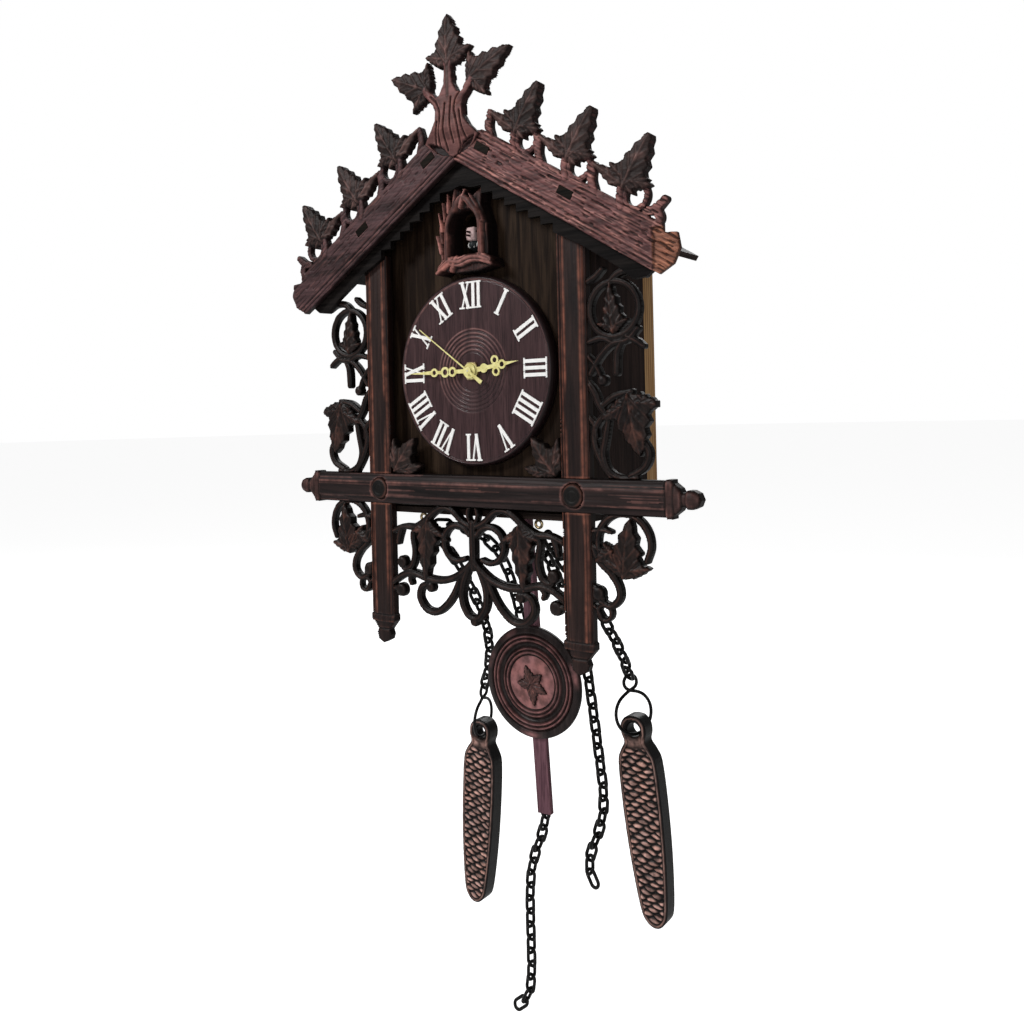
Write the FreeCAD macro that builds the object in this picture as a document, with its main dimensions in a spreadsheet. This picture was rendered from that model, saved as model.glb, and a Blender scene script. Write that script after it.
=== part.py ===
import FreeCAD, Part
import math
import os
import Sketcher
from FreeCAD import Placement, Rotation, Vector

# A carved cuckoo clock for a wall, in millimetres.
# +X is to the viewer's right, +Y runs into the wall and +Z is up.  The origin is the centre of
# the hanging hole, on the back of the case.  The outlines below are drawn about the centre of
# the cross beam, on the plane of the posts' front faces, and each sub-part's Placement carries
# them to the origin.

doc = FreeCAD.newDocument("cuckoo_clock")
sheet = doc.addObject("Spreadsheet::Sheet", "dims")

SIZES = {
    # where the drawing's own origin lies from the hanging hole
    "facade_plane": -94.0,
    "beam_level": -172.0,
    # case
    "case_half_width": 82.0,
    "case_bottom": -12.0,
    "case_eaves": 160.0,
    "wall_board": 4.0,
    "panel_front": 12.0,
    "side_depth": 64.0,
    "back_front": 80.0,
    "back_depth": 14.0,
    "floor_front": 6.2,
    "floor_board": 4.0,
    # roof
    "roof_slope": 0.615,
    "roof_underside": 212.0,
    "roof_board": 3.5,
    "roof_reach": 113.0,
    "roof_front": -3.5,
    "roof_depth": 97.5,
    "barge_front": -9.0,
    "barge_board": 5.5,
    "barge_low": 205.6,
    "barge_high": 230.0,
    "crest_line": 236.1,
    "trim_board": 3.5,
    "crest_board": 4.5,
    "ridge_front": -16.0,
    "ridge_board": 7.0,
    # front framework
    "post_centre": 77.0,
    "post_width": 19.0,
    "post_board": 6.0,
    "post_foot": -85.0,
    "post_head": 155.0,
    "beam_half_height": 10.0,
    "beam_half_length": 135.0,
    "beam_tip": 155.0,
    "peg_radius": 7.0,
    "peg_stem_radius": 3.0,
    "peg_proud": 3.0,
    "fret_front": 0.8,
    "fret_board": 4.2,
    # dial and hands
    "dial_level": 75.5,
    "dial_radius": 60.2,
    "dial_front": 5.0,
    "dial_board": 7.0,
    "numeral_radius": 48.0,
    "numeral_board": 0.6,
    "hand_board": 0.6,
    "neck_radius": 4.0,
    "hour_tube_radius": 2.4,
    "minute_tube_radius": 1.3,
    "second_arbor_radius": 0.5,
    "running_gap": 0.05,
    # movement
    "movement_half": 28.0,
    "movement_front": 16.2,
    "movement_depth": 22.0,
    "movement_wall": 1.6,
    # nest and bird
    "nest_level": 163.0,
    "nest_front_plane": 0.1,
    "nest_half_width": 11.0,
    # pendulum
    "pendulum_plane": 47.0,
    "pendulum_pivot": 45.0,
    "pendulum_swing": 3.3,
    "bob_distance": 175.0,
    "bob_radius": 37.0,
    "bob_board": 5.0,
    "rod_length": 262.0,
    "rod_width": 10.2,
    "rod_board": 3.5,
    # chains and weights
    "hook_level": -19.4,
    "hook_plane": 12.0,
    "wire_radius": 1.2,
    "link_pitch": 9.6,
    "link_width": 9.0,
    "cone_board": 12.0,
    "cone_length": 126.0,
    "hook_radius": 2.3,
    "hook_wire": 0.9,
    "loop_wire": 0.9,
}

# the door in the back, its hinge line and the keyhole above it
DOOR_HALF = 66.0
DOOR_LOW = 6.0
DOOR_HIGH = 148.0
HINGE_X = -63.2
HINGE_Y = 91.8
HANGER_RADIUS = 5.0
# inside the case
SPEAKER_SIDE = -34.0
SPEAKER_LEVEL = 40.0
THIRD_PLACE = (11.6, 0.0)
MOTION_PLACE = (-12.4, 0.0)
# on the face: the pegs, the hooks, and the hands' turns from twelve in degrees
PEG_PLACE = 76.0
HOOK_PLACES = (-49.0, 43.0)
SECOND_ANGLE = 306.0
MINUTE_ANGLE = 270.0
HOUR_ANGLE = 82.5
# a weight's eye, and the turn of the chains' links from the clock's face
EYE_RADIUS = 4.8
LINK_TURN = -9.0
# each strand's line, from under its hook: X, Y and Z about the beam's centre
CHAIN_LINES = {
    "weight_chain_left": [
        (-51.8, 12.6, -25.6), (-45.5, 26.0, -38.0), (-39.5, 45.0, -66.0), (-39.5, 64.0, -98.0),
        (-48.0, 79.0, -128.0), (-59.9, 87.5, -152.1),
    ],
    "weight_chain_right": [
        (48.2, 12.6, -25.6), (50.5, 24.0, -42.0), (58.5, 44.0, -68.0), (64.5, 64.0, -98.0),
        (61.5, 87.5, -128.0),
    ],
    "free_chain_left": [
        (-43.4, 18.0, -24.6), (-33.0, 34.0, -28.0), (-22.0, 50.0, -40.0), (-12.5, 64.0, -78.0),
        (-8.5, 76.0, -140.0), (-6.5, 86.0, -215.0), (-10.5, 89.0, -245.0), (-20.5, 90.0, -270.0),
        (-24.6, 90.0, -305.0), (-24.6, 90.0, -350.0), (-28.0, 89.0, -371.0), (-37.0, 88.0, -380.0),
    ],
    "free_chain_right": [
        (38.2, 15.4, -25.8), (36.6, 42.0, -58.0), (37.2, 66.0, -100.0), (38.2, 77.0, -143.0),
        (39.6, 85.0, -193.0), (38.4, 89.0, -222.0), (30.5, 90.0, -246.0), (25.5, 90.0, -262.0),
        (31.0, 89.0, -275.0),
    ],
}
# each weight's eye: X, Z, its lean from upright and the turn of its wire from the face, in degrees
CONE_PLACES = {
    "left": (-62.2, -187.1, 3.6, 100.0),
    "right": (65.4, -162.6, -6.2, 62.0),
}

for row, (alias, value) in enumerate(SIZES.items(), start=1):
    sheet.set(f"A{row}", alias)
    sheet.set(f"B{row}", str(value))
    sheet.setAlias(f"B{row}", alias)
doc.recompute()

parts = []


def size(alias):
    """The value of one cell of the sheet."""
    return float(sheet.get(alias))


def keep(obj, label, front="0", level="0", across="0"):
    """Labels a sub-part, places it by expressions in the sheet's names and keeps it for export."""
    obj.Label = label
    obj.setExpression(".Placement.Base.x", f"{across}")
    obj.setExpression(".Placement.Base.y", f"dims.facade_plane + ({front})")
    obj.setExpression(".Placement.Base.z", f"dims.beam_level + ({level})")
    parts.append(obj)
    return obj


# ---------------------------------------------------------------- sketches and bodies

def origin_plane(body, role):
    """One of a body's own origin planes, such as XZ_Plane."""
    return next(f for f in body.Origin.OriginFeatures if f.Role == role)


def new_sketch(body, name, role="XZ_Plane", offset=0.0):
    """A sketch on a body's origin plane, moved along the plane's normal by offset."""
    sketch = body.newObject("Sketcher::SketchObject", name)
    sketch.AttachmentSupport = [(origin_plane(body, role), "")]
    sketch.MapMode = "FlatFace"
    sketch.AttachmentOffset = Placement(Vector(0, 0, offset), Rotation())
    return sketch


def draw_polygon(sketch, points):
    """A closed outline of straight lines, its corners joined by constraints."""
    first = sketch.GeometryCount
    count = len(points)
    for here, there in zip(points, points[1:] + points[:1]):
        sketch.addGeometry(Part.LineSegment(Vector(*here, 0), Vector(*there, 0)))
    for index in range(count):
        following = first + (index + 1) % count
        sketch.addConstraint(Sketcher.Constraint("Coincident", first + index, 2, following, 1))


def box_points(half, low, high):
    """The corners of a rectangle about the middle."""
    return [(-half, low), (half, low), (half, high), (-half, high)]


def draw_box(sketch, x0, z0, x1, z1):
    """A closed rectangle."""
    draw_polygon(sketch, [(x0, z0), (x1, z0), (x1, z1), (x0, z1)])


def draw_circle(sketch, x, z, radius, expression=None):
    """A circle, its radius tied to the sheet when an expression is given."""
    index = sketch.addGeometry(Part.Circle(Vector(x, z, 0), Vector(0, 0, 1), radius))
    constraint = sketch.addConstraint(Sketcher.Constraint("Radius", index, radius))
    if expression:
        sketch.setExpression(f"Constraints[{constraint}]", expression)


def pad(body, sketch, length):
    """Pads a sketch away from the viewer, its length an expression."""
    feature = body.newObject("PartDesign::Pad", f"pad_{sketch.Name}")
    feature.Profile = sketch
    feature.Reversed = True
    feature.setExpression("Length", length)
    return feature


def cut(body, sketch, length=None):
    """Pockets a sketch away from the viewer, by a length or all through."""
    feature = body.newObject("PartDesign::Pocket", f"pocket_{sketch.Name}")
    feature.Profile = sketch
    if length is None:
        feature.Type = "ThroughAll"
        feature.Midplane = True
    else:
        feature.setExpression("Length", length)
    return feature


def board(label, thickness, outline, front, holes=(), circles=()):
    """A flat board: an outline in X and Z, with straight-sided and round holes through it."""
    body = doc.addObject("PartDesign::Body", label)
    shape = new_sketch(body, f"{label}_outline")
    draw_polygon(shape, outline)
    for x, z, radius, expression in circles:
        draw_circle(shape, x, z, radius, expression)
    for hole in holes:
        draw_polygon(shape, hole)
    pad(body, shape, thickness)
    return keep(body, label, front)


def block(label, x0, x1, z0, z1, front, depth):
    """A plain rectangular piece, its depth an expression."""
    body = doc.addObject("PartDesign::Body", label)
    shape = new_sketch(body, f"{label}_outline")
    draw_box(shape, x0, z0, x1, z1)
    pad(body, shape, depth)
    return keep(body, label, front)


def mirror_points(points):
    """The same outline on the other side of the clock's middle."""
    return [(-x, z) for x, z in reversed(points)]


# ---------------------------------------------------------------- carved scrollwork

def flat_face(points):
    """A flat face in the XZ plane inside a closed outline of straight lines."""
    corners = [Vector(x, 0, z) for x, z in points]
    return Part.Face(Part.makePolygon(corners + corners[:1]))


def disc(x, z, radius):
    """A flat round face in the XZ plane."""
    circle = Part.Circle(Vector(x, 0, z), Vector(0, 1, 0), radius)
    return Part.Face(Part.Wire(circle.toShape()))


def stroke(width, points):
    """A curved bar with round ends that follows a smooth line through the points."""
    line = Part.BSplineCurve()
    line.interpolate([Vector(x, 0, z) for x, z in points])
    low, high = line.FirstParameter, line.LastParameter
    count = max(6, 2 * len(points))
    left = []
    right = []
    for index in range(count + 1):
        at = low + (high - low) * index / count
        along = Vector(line.tangent(at)[0])
        side = Vector(-along.z, 0, along.x) * (width / 2)
        left.append(line.value(at) + side)
        right.append(line.value(at) - side)
    start_tip = line.value(low) - Vector(line.tangent(low)[0]) * (width / 2)
    end_tip = line.value(high) + Vector(line.tangent(high)[0]) * (width / 2)
    left_edge = Part.BSplineCurve()
    left_edge.interpolate(left)
    right_edge = Part.BSplineCurve()
    right_edge.interpolate(list(reversed(right)))
    wire = Part.Wire([
        left_edge.toShape(),
        Part.Arc(left[-1], end_tip, right[-1]).toShape(),
        right_edge.toShape(),
        Part.Arc(right[0], start_tip, left[0]).toShape(),
    ])
    return Part.Face(wire)


def hole_ring(x, z, outer, inner):
    """A flat washer-shaped face."""
    return disc(x, z, outer).cut(disc(x, z, inner))


def ring(x, z, radius, width, start, end):
    """A bar bent round part of a circle, between two angles in degrees from +X."""
    steps = max(4, int(abs(end - start) / 40))
    points = []
    for index in range(steps + 1):
        angle = math.radians(start + (end - start) * index / steps)
        points.append((x + radius * math.cos(angle), z + radius * math.sin(angle)))
    return stroke(width, points)


# A leaf's outline from stalk to tip: how far along it each point lies, and how far out.
LEAF_EDGE = [
    (0.00, 0.07), (0.04, 0.42), (0.14, 0.78), (0.20, 0.60), (0.30, 1.00), (0.40, 0.72),
    (0.50, 0.80), (0.58, 0.52), (0.70, 0.56), (0.78, 0.32), (0.88, 0.26), (1.00, 0.0),
]


def leaf_points(x, z, length, half_width, lean):
    """A saw-edged leaf from its stalk at (x, z), leaning from upright by degrees towards +X."""
    across = [(along, out) for along, out in LEAF_EDGE]
    back = [(along, -out) for along, out in reversed(LEAF_EDGE[:-1])]
    sine = math.sin(math.radians(lean))
    cosine = math.cos(math.radians(lean))
    outline = []
    for along, out in across + back:
        forward = along * length
        sideways = out * half_width
        outline.append((x + forward * sine + sideways * cosine, z + forward * cosine - sideways * sine))
    return outline


def leaf(x, z, length, half_width, lean, lobes=(74, -74)):
    """The flat face of a leaf, with a shorter lobe to each side of its foot."""
    blade = flat_face(leaf_points(x, z, length, half_width * 0.86, lean))
    reach = 0.14 * length
    foot_x = x + reach * math.sin(math.radians(lean))
    foot_z = z + reach * math.cos(math.radians(lean))
    sides = [
        flat_face(leaf_points(foot_x, foot_z, half_width * 1.3, half_width * 0.42, lean + turn))
        for turn in lobes
    ]
    return blade.multiFuse(sides)


def mirrored(face):
    """The face on the other side of the clock's middle."""
    return face.mirror(Vector(0, 0, 0), Vector(1, 0, 0))


def carved(label, faces, front, thickness, within=None):
    """A fretted board: overlapping flat faces made one, trimmed to a frame and extruded."""
    outline = faces[0].multiFuse(faces[1:]) if len(faces) > 1 else faces[0]
    if within:
        outline = outline.common(flat_face(within))
    profile = doc.addObject("Part::Feature", f"{label}_profile")
    profile.Shape = outline.removeSplitter()
    solid = doc.addObject("Part::Extrusion", label)
    solid.Base = profile
    solid.DirMode = "Custom"
    solid.Dir = Vector(0, 1, 0)
    solid.Solid = True
    solid.setExpression("LengthFwd", thickness)
    return keep(solid, label, front)


# ---------------------------------------------------------------- case

half_width = size("case_half_width")
bottom = size("case_bottom")
eaves = size("case_eaves")
slope = size("roof_slope")
wall = size("wall_board")
case_apex = eaves + slope * half_width
dial_level = size("dial_level")
nest_level = size("nest_level")


def gable_outline(half, low, high, peak):
    """The outline of a wall under the roof."""
    return [(-half, low), (half, low), (half, high), (0, peak), (-half, high)]


def arch_points(half, low, spring, steps=10):
    """An arch: upright sides from low to spring, and a round head."""
    head = []
    for index in range(steps + 1):
        angle = math.pi * index / steps
        head.append((half * math.cos(angle), spring + half * math.sin(angle)))
    return [(-half, low), (half, low)] + head


nest_half = size("nest_half_width")
nest_low = nest_level - 15
nest_spring = nest_level + 3


def make_case():
    """The box of the clock: front, sides, floor and the plywood frame at the back."""
    board(
        "front_panel", "dims.wall_board", gable_outline(half_width, bottom, eaves, case_apex),
        "dims.panel_front",
        holes=[arch_points(nest_half, nest_low, nest_spring)],
        circles=[(0, dial_level, size("neck_radius") + 0.2, "dims.neck_radius + 0.2")],
    )
    side_front = "dims.panel_front + dims.wall_board"
    block("side_panel_left", -half_width, wall - half_width, bottom, eaves, side_front, "dims.side_depth")
    block("side_panel_right", half_width - wall, half_width, bottom, eaves, side_front, "dims.side_depth")
    make_floor()
    make_back()


def make_floor():
    """The board under the case, slotted for the pendulum and drilled for the chain hooks."""
    body = doc.addObject("PartDesign::Body", "case_floor")
    plan = new_sketch(body, "floor_plan", "XY_Plane")
    draw_box(plan, -half_width, 0, half_width, size("back_front") + size("back_depth") - size("floor_front"))
    slot_front = size("pendulum_plane") - size("floor_front") - 3
    draw_box(plan, -17, slot_front, 17, slot_front + 18)
    for x in HOOK_PLACES:
        draw_circle(plan, x, size("hook_plane") - size("floor_front"), size("hook_wire") + 0.05)
    pad(body, plan, "dims.floor_board")
    keep(body, "case_floor", "dims.floor_front", "dims.case_bottom")


def make_back():
    """The plywood frame, with its keyhole, and the hinged door that fills it."""
    hole_level = -size("beam_level")
    neck = [(-2, hole_level + 3.5), (2, hole_level + 3.5), (2, hole_level + 11), (-2, hole_level + 11)]
    frame = board(
        "back_frame", "dims.back_depth", gable_outline(half_width, bottom, eaves, case_apex),
        "dims.back_front",
        holes=[box_points(DOOR_HALF, DOOR_LOW, DOOR_HIGH)],
        circles=[(0, hole_level, HANGER_RADIUS, None)],
    )
    keyhole = new_sketch(frame, "keyhole_neck")
    draw_polygon(keyhole, neck)
    cut(frame, keyhole)
    door = doc.addObject("PartDesign::Body", "back_door")
    outline = new_sketch(door, "door_outline")
    gap = 0.5
    draw_box(outline, 3.2 - DOOR_HALF, DOOR_LOW + gap, DOOR_HALF - gap, DOOR_HIGH - gap)
    for index in range(5):
        level = SPEAKER_LEVEL - 16 + 8 * index
        draw_box(outline, SPEAKER_SIDE - 17, level - 1.5, SPEAKER_SIDE + 17, level + 1.5)
    draw_circle(outline, DOOR_HALF - 12, (DOOR_LOW + DOOR_HIGH) / 2, 7)
    pad(door, outline, "dims.wall_board - 1")
    keep(door, "back_door", "dims.back_front + 7")
    make_hinges()


def make_hinges():
    """Two brass butt hinges: the leaves and pins on the frame, and the leaves on the door."""
    fixed = []
    moving = []
    for level in (DOOR_LOW + 26, DOOR_HIGH - 26):
        for low in (-12, 6):
            barrel = Part.makeCylinder(1.6, 6, Vector(HINGE_X, HINGE_Y, level + low))
            fixed.append(barrel)
        pin = Part.makeCylinder(0.8, 18, Vector(HINGE_X, HINGE_Y, level - 9))
        plate = Part.makeBox(0.8, 9, 24, Vector(-DOOR_HALF, HINGE_Y - 9, level - 12))
        link_low = Part.makeBox(HINGE_X + DOOR_HALF, 1, 6, Vector(-DOOR_HALF, HINGE_Y - 1.5, level - 12))
        link_high = Part.makeBox(HINGE_X + DOOR_HALF, 1, 6, Vector(-DOOR_HALF, HINGE_Y - 1.5, level + 6))
        fixed[-2:] = [fixed[-2].fuse([fixed[-1], pin, plate, link_low, link_high])]
        knuckle = Part.makeCylinder(1.6, 11.6, Vector(HINGE_X, HINGE_Y, level - 5.8))
        foot = Part.makeBox(12, 0.8, 11.6, Vector(HINGE_X, HINGE_Y - 1.6, level - 5.8))
        bore = Part.makeCylinder(0.86, 12, Vector(HINGE_X, HINGE_Y, level - 6))
        moving.append(knuckle.fuse(foot).cut(bore))
    for label, solids in (("frame_hinges", fixed), ("door_hinges", moving)):
        feature = doc.addObject("Part::Feature", label)
        feature.Shape = Part.makeCompound(solids)
        keep(feature, label)


# ---------------------------------------------------------------- roof

def along_roof(line, half):
    """The level of a line parallel to the roof, at a distance from the middle."""
    return line - slope * half


def make_roof():
    """The two roof boards, mitred at the ridge."""
    rise = size("roof_board") * math.hypot(1, slope)
    low = size("roof_underside")
    reach = size("roof_reach")
    square = size("roof_board") * slope / math.hypot(1, slope)
    right = [
        (0, low), (reach, along_roof(low, reach)),
        (reach + square, along_roof(low + rise, reach + square)), (0, low + rise),
    ]
    board("roof_panel_right", "dims.roof_depth", right, "dims.roof_front")
    board("roof_panel_left", "dims.roof_depth", mirror_points(right), "dims.roof_front")


BARGE_END = [(137.0, 121.2), (145.5, 126.0), (149.5, 134.0), (148.0, 142.5)]


def make_bargeboards():
    """The broad gable boards with their chamfered ends, sunk for four dark inlays."""
    low = size("barge_low")
    high = size("barge_high")
    right = [(0, low)] + BARGE_END + [(141, along_roof(high, 141)), (0, high)]
    for side, outline, sign in (("right", right, 1), ("left", mirror_points(right), -1)):
        label = f"bargeboard_{side}"
        body = board(label, "dims.barge_board", outline, "dims.barge_front")
        sockets = new_sketch(body, f"{label}_sockets")
        for corners in inlay_places(sign):
            draw_polygon(sockets, corners)
        cut(body, sockets, "1.2")
    profile = doc.addObject("Part::Feature", "roof_inlays_profile")
    profile.Shape = Part.makeCompound(
        [flat_face(corners) for sign in (1, -1) for corners in inlay_places(sign)]
    )
    inlays = doc.addObject("Part::Extrusion", "roof_inlays")
    inlays.Base = profile
    inlays.DirMode = "Custom"
    inlays.Dir = Vector(0, 1, 0)
    inlays.Solid = True
    inlays.LengthFwd = 1.2
    keep(inlays, "roof_inlays", "dims.barge_front")


def inlay_places(sign):
    """The corners of each inlay on one side: 11 mm along the slope and 4.6 mm across it."""
    places = []
    tilt = math.atan(slope)
    for middle in (21.5, 80.0):
        level = along_roof((size("barge_low") + size("crest_line")) / 2 + 1.7, middle)
        corners = []
        for along, across in ((-5.5, -2.3), (5.5, -2.3), (5.5, 2.3), (-5.5, 2.3)):
            x = middle + along * math.cos(tilt) + across * math.sin(tilt)
            z = level - along * math.sin(tilt) + across * math.cos(tilt)
            corners.append((sign * x, z))
        places.append(corners)
    return places


def make_gable_trim():
    """The dark board behind the bargeboards, stepped like dentils between the posts."""
    top = size("roof_underside") - 0.3
    right = [(137.0, 128.0), (128.0, 121.5), (119.5, 120.5), (110.0, 128.6), (86.5, 143.5), (68.0, 153.0)]
    step = 8.6
    x = 68.0
    level = 153.0
    while x > step:
        right.append((x, level + 5.6))
        x -= step
        right.append((x, level + 5.6))
        level += 5.0
    edge = right + [(0, level + 3.0)]
    left = [(-px, pz) for px, pz in reversed(right)]
    outline = edge + left + [(-137.0, along_roof(top, 137.0)), (0, top), (137.0, along_roof(top, 137.0))]
    board("gable_trim", "dims.trim_board", outline, "dims.roof_front")


def crest_faces():
    """One side's cresting: three leaves on pierced stalks over a scalloped rail."""
    low = size("crest_line")
    rail = size("barge_high")
    faces = [flat_face([
        (22, along_roof(rail, 22)), (140, along_roof(rail, 140)), (140, along_roof(rail, 140) + 4),
        (22, along_roof(rail, 22) + 4),
    ])]
    for x in (46.5, 81.8, 117.1):
        foot = along_roof(low, x)
        faces.append(leaf(x, foot + 5.5, 34, 12, 33.5))
        faces.append(flat_face(leaf_points(x, foot + 8, 24, 4.6, -51)))
        faces.append(flat_face(leaf_points(x + 1, foot + 9, 15, 5, 93)))
        faces.append(stroke(5.0, [(x - 18, foot + 7), (x - 20, foot + 14), (x - 18.5, foot + 22)]))
        faces.append(stroke(4.2, [(x - 0.5, foot + 9), (x - 2.2, foot + 3), (x - 1.5, foot - 4)]))
        faces.append(hole_ring(x + 7.6, foot + 0.5, 8.4, 5.3))
    faces.append(stroke(5.0, [(131, along_roof(low, 131)), (136, 156), (142, 160.5)]))
    faces.append(stroke(5.0, [(136, along_roof(rail, 136) + 1), (138.5, 151), (136.5, 157)]))
    return faces


TRUNK = [
    (0, 207.5), (14, 212), (21, 218), (14.5, 225), (11, 231), (10.8, 237), (13.5, 243.5),
    (7, 246), (3.6, 252), (2.6, 266),
]


def make_crestings():
    """The leafy crestings on both slopes and the tree at the ridge."""
    right = crest_faces()
    carved("cresting_right", right, "dims.barge_front", "dims.crest_board", crest_frame(1))
    carved("cresting_left", [mirrored(face) for face in right], "dims.barge_front", "dims.crest_board",
           crest_frame(-1))
    leaves = [
        leaf(0, 262, 33, 14.5, 0),
        leaf(14, 250, 36, 13, 66),
        leaf(-14, 250, 36, 13, -66),
    ]
    trunk = flat_face(TRUNK + mirror_points(TRUNK))
    limbs = [
        stroke(5.0, [(-8, 240), (-13, 245), (-18, 251)]),
        stroke(5.0, [(8, 240), (13, 245), (18, 251)]),
    ]
    carved("ridge_ornament", leaves + [trunk] + limbs, "dims.ridge_front", "dims.ridge_board")


def crest_frame(sign):
    """What lies above the bargeboard's upper edge on one side."""
    low = size("barge_high")
    corners = [(14, along_roof(low, 14)), (141, along_roof(low, 141)), (150, 138), (150, 260), (14, 260)]
    return [(sign * x, z) for x, z in corners]


# ---------------------------------------------------------------- front framework

def make_posts():
    """The two uprights, halved behind the beam and turned to a button at the foot."""
    half = size("post_width") / 2
    foot = size("post_foot")
    for side, sign in (("right", 1), ("left", -1)):
        label = f"post_{side}"
        middle = sign * size("post_centre")
        head = size("post_head")
        tail = [(half + 1, foot), (half + 1, foot - 3.5), (6.5, foot - 8), (5, foot - 10),
                (6.2, foot - 13), (5, foot - 16.5), (0, foot - 19)]
        outline = [(middle + x, z) for x, z in [(half, foot + 1)] + tail]
        outline += [(middle - x, z) for x, z in reversed([(half, foot + 1)] + tail[:-1])]
        outline += [(middle - half, head), (middle + half, head)]
        body = board(label, "dims.post_board", outline, "0")
        halving = new_sketch(body, f"{label}_halving")
        beam = size("beam_half_height")
        draw_box(halving, middle - half - 1, -beam, middle + half + 1, beam)
        cut(body, halving, "dims.post_board / 2")
        bore = new_sketch(body, f"{label}_bore")
        draw_circle(bore, sign * PEG_PLACE, 0, size("peg_stem_radius") + 0.05, "dims.peg_stem_radius + 0.05")
        cut(body, bore)


def make_beam():
    """The cross beam: a moulded bar with flanges and turned tips, halved over the posts."""
    label = "cross_beam"
    half = size("beam_half_height")
    length = size("beam_half_length")
    tip = size("beam_tip")
    end = [(length, half), (length, 10.8), (length + 4, 10.8), (length + 4, 9), (length + 8, 6),
           (length + 9, 3.8), (length + 11, 3.8), (length + 12, 5.2), (length + 15, 5.2), (tip - 1.5, 3.6),
           (tip, 0)]
    upper = [(x, z) for x, z in end]
    lower = [(x, -z) for x, z in reversed(end[:-1])]
    right = upper + lower
    outline = right + [(-x, z) for x, z in reversed(upper + lower)]
    body = board(label, "dims.post_board", outline, "0")
    for side, sign in (("right", 1), ("left", -1)):
        x = sign * size("post_centre")
        half_post = size("post_width") / 2
        halving = new_sketch(body, f"beam_halving_{side}", offset=-size("post_board") / 2)
        draw_box(halving, x - half_post, -half, x + half_post, half)
        cut(body, halving, "dims.post_board / 2")
    bores = new_sketch(body, "beam_bores")
    for sign in (1, -1):
        draw_circle(bores, sign * PEG_PLACE, 0, size("peg_stem_radius") + 0.05)
    cut(body, bores)
    moulding = new_sketch(body, "beam_moulding", "YZ_Plane", -length)
    bulge = 2.4
    shoulder = -0.7 * bulge
    draw_polygon(moulding, [(0, 9), (shoulder, 7.5), (-bulge, 4), (-bulge, -4), (shoulder, -7.5), (0, -9)])
    feature = body.newObject("PartDesign::Pad", "pad_moulding")
    feature.Profile = moulding
    feature.setExpression("Length", "2 * dims.beam_half_length")
    seats = new_sketch(body, "peg_seats", offset=bulge)
    for sign in (1, -1):
        draw_circle(seats, sign * PEG_PLACE, 0, size("peg_radius") + 0.3, "dims.peg_radius + 0.3")
    cut(body, seats, f"{bulge}")


def make_pegs():
    """The two round buttons that pin each post to the beam."""
    solids = []
    for sign in (1, -1):
        place = Vector(sign * PEG_PLACE, 0, 0)
        button = Part.makeCylinder(size("peg_radius"), size("peg_proud"), place, Vector(0, -1, 0))
        rounded = button.makeFillet(1.0, [button.Edges[0]])
        stem = Part.makeCylinder(size("peg_stem_radius"), size("post_board"), place, Vector(0, 1, 0))
        solids.append(rounded.fuse(stem))
    feature = doc.addObject("Part::Feature", "peg_buttons")
    feature.Shape = Part.makeCompound(solids)
    keep(feature, "peg_buttons")


def side_fret_faces():
    """The tall scroll beside a post, above the beam."""
    return [
        hole_ring(104, 106, 17.6, 13.6),
        leaf(104, 92, 29, 8.5, -4),
        stroke(3.6, [(119, 94), (112, 88), (103, 86.5), (95, 80), (88, 70)]),
        stroke(4.0, [(112, 90), (118, 87), (122, 84)]),
        stroke(4.4, [(109, 88), (105.5, 81), (104.8, 70)]),
        stroke(3.6, [(88, 88), (96, 90), (103, 87)]),
        stroke(3.6, [(86, 122), (92, 125), (97, 129)]),
        stroke(4.6, [(101, 121), (108, 126), (117, 127), (124, 124)]),
        disc(96, 66, 3.2),
        stroke(3.0, [(96, 66), (92, 74), (88, 80)]),
        stroke(4.6, [(86, 66), (90, 60), (93, 53), (97, 47)]),
        leaf(112, 58, 36, 15.5, 168),
        stroke(4.2, [(96, 52), (104, 57), (114, 59)]),
        stroke(4.4, [(112, 12), (121, 17), (124, 25), (119, 33), (113, 38)]),
        stroke(4.4, [(116, 11), (106, 10.5), (98, 15), (95, 24), (97, 34), (99, 44)]),
        stroke(4.2, [(97, 47), (91, 40), (89.5, 31), (94, 20), (100, 12)]),
        stroke(4.0, [(86, 46), (90, 41), (91, 34)]),
    ]


def lower_fret_faces():
    """The scroll beside a post, under the beam."""
    return [
        ring(107, -26, 16.8, 4.0, -32, 236),
        leaf(107, -46, 35, 12.5, 8),
        leaf(103, -32, 15, 6.5, 140),
        leaf(101, -30, 14, 6.0, 240),
        stroke(3.6, [(88, -28), (95, -32), (102, -37)]),
        stroke(3.2, [(88, -20), (94, -19), (99, -20)]),
        stroke(4.2, [(88, -30), (91, -37), (98, -43), (103, -50), (103.5, -57), (98, -62), (91.5, -60)]),
        disc(90, -55.5, 4.4),
        stroke(3.8, [(85, -52), (89, -53), (93, -58)]),
        hole_ring(94, -66, 5.7, 3.1),
        stroke(2.6, [(84, -62), (89, -64), (92, -69)]),
        stroke(3.6, [(117, -31), (112, -34), (108, -38)]),
    ]


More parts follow.
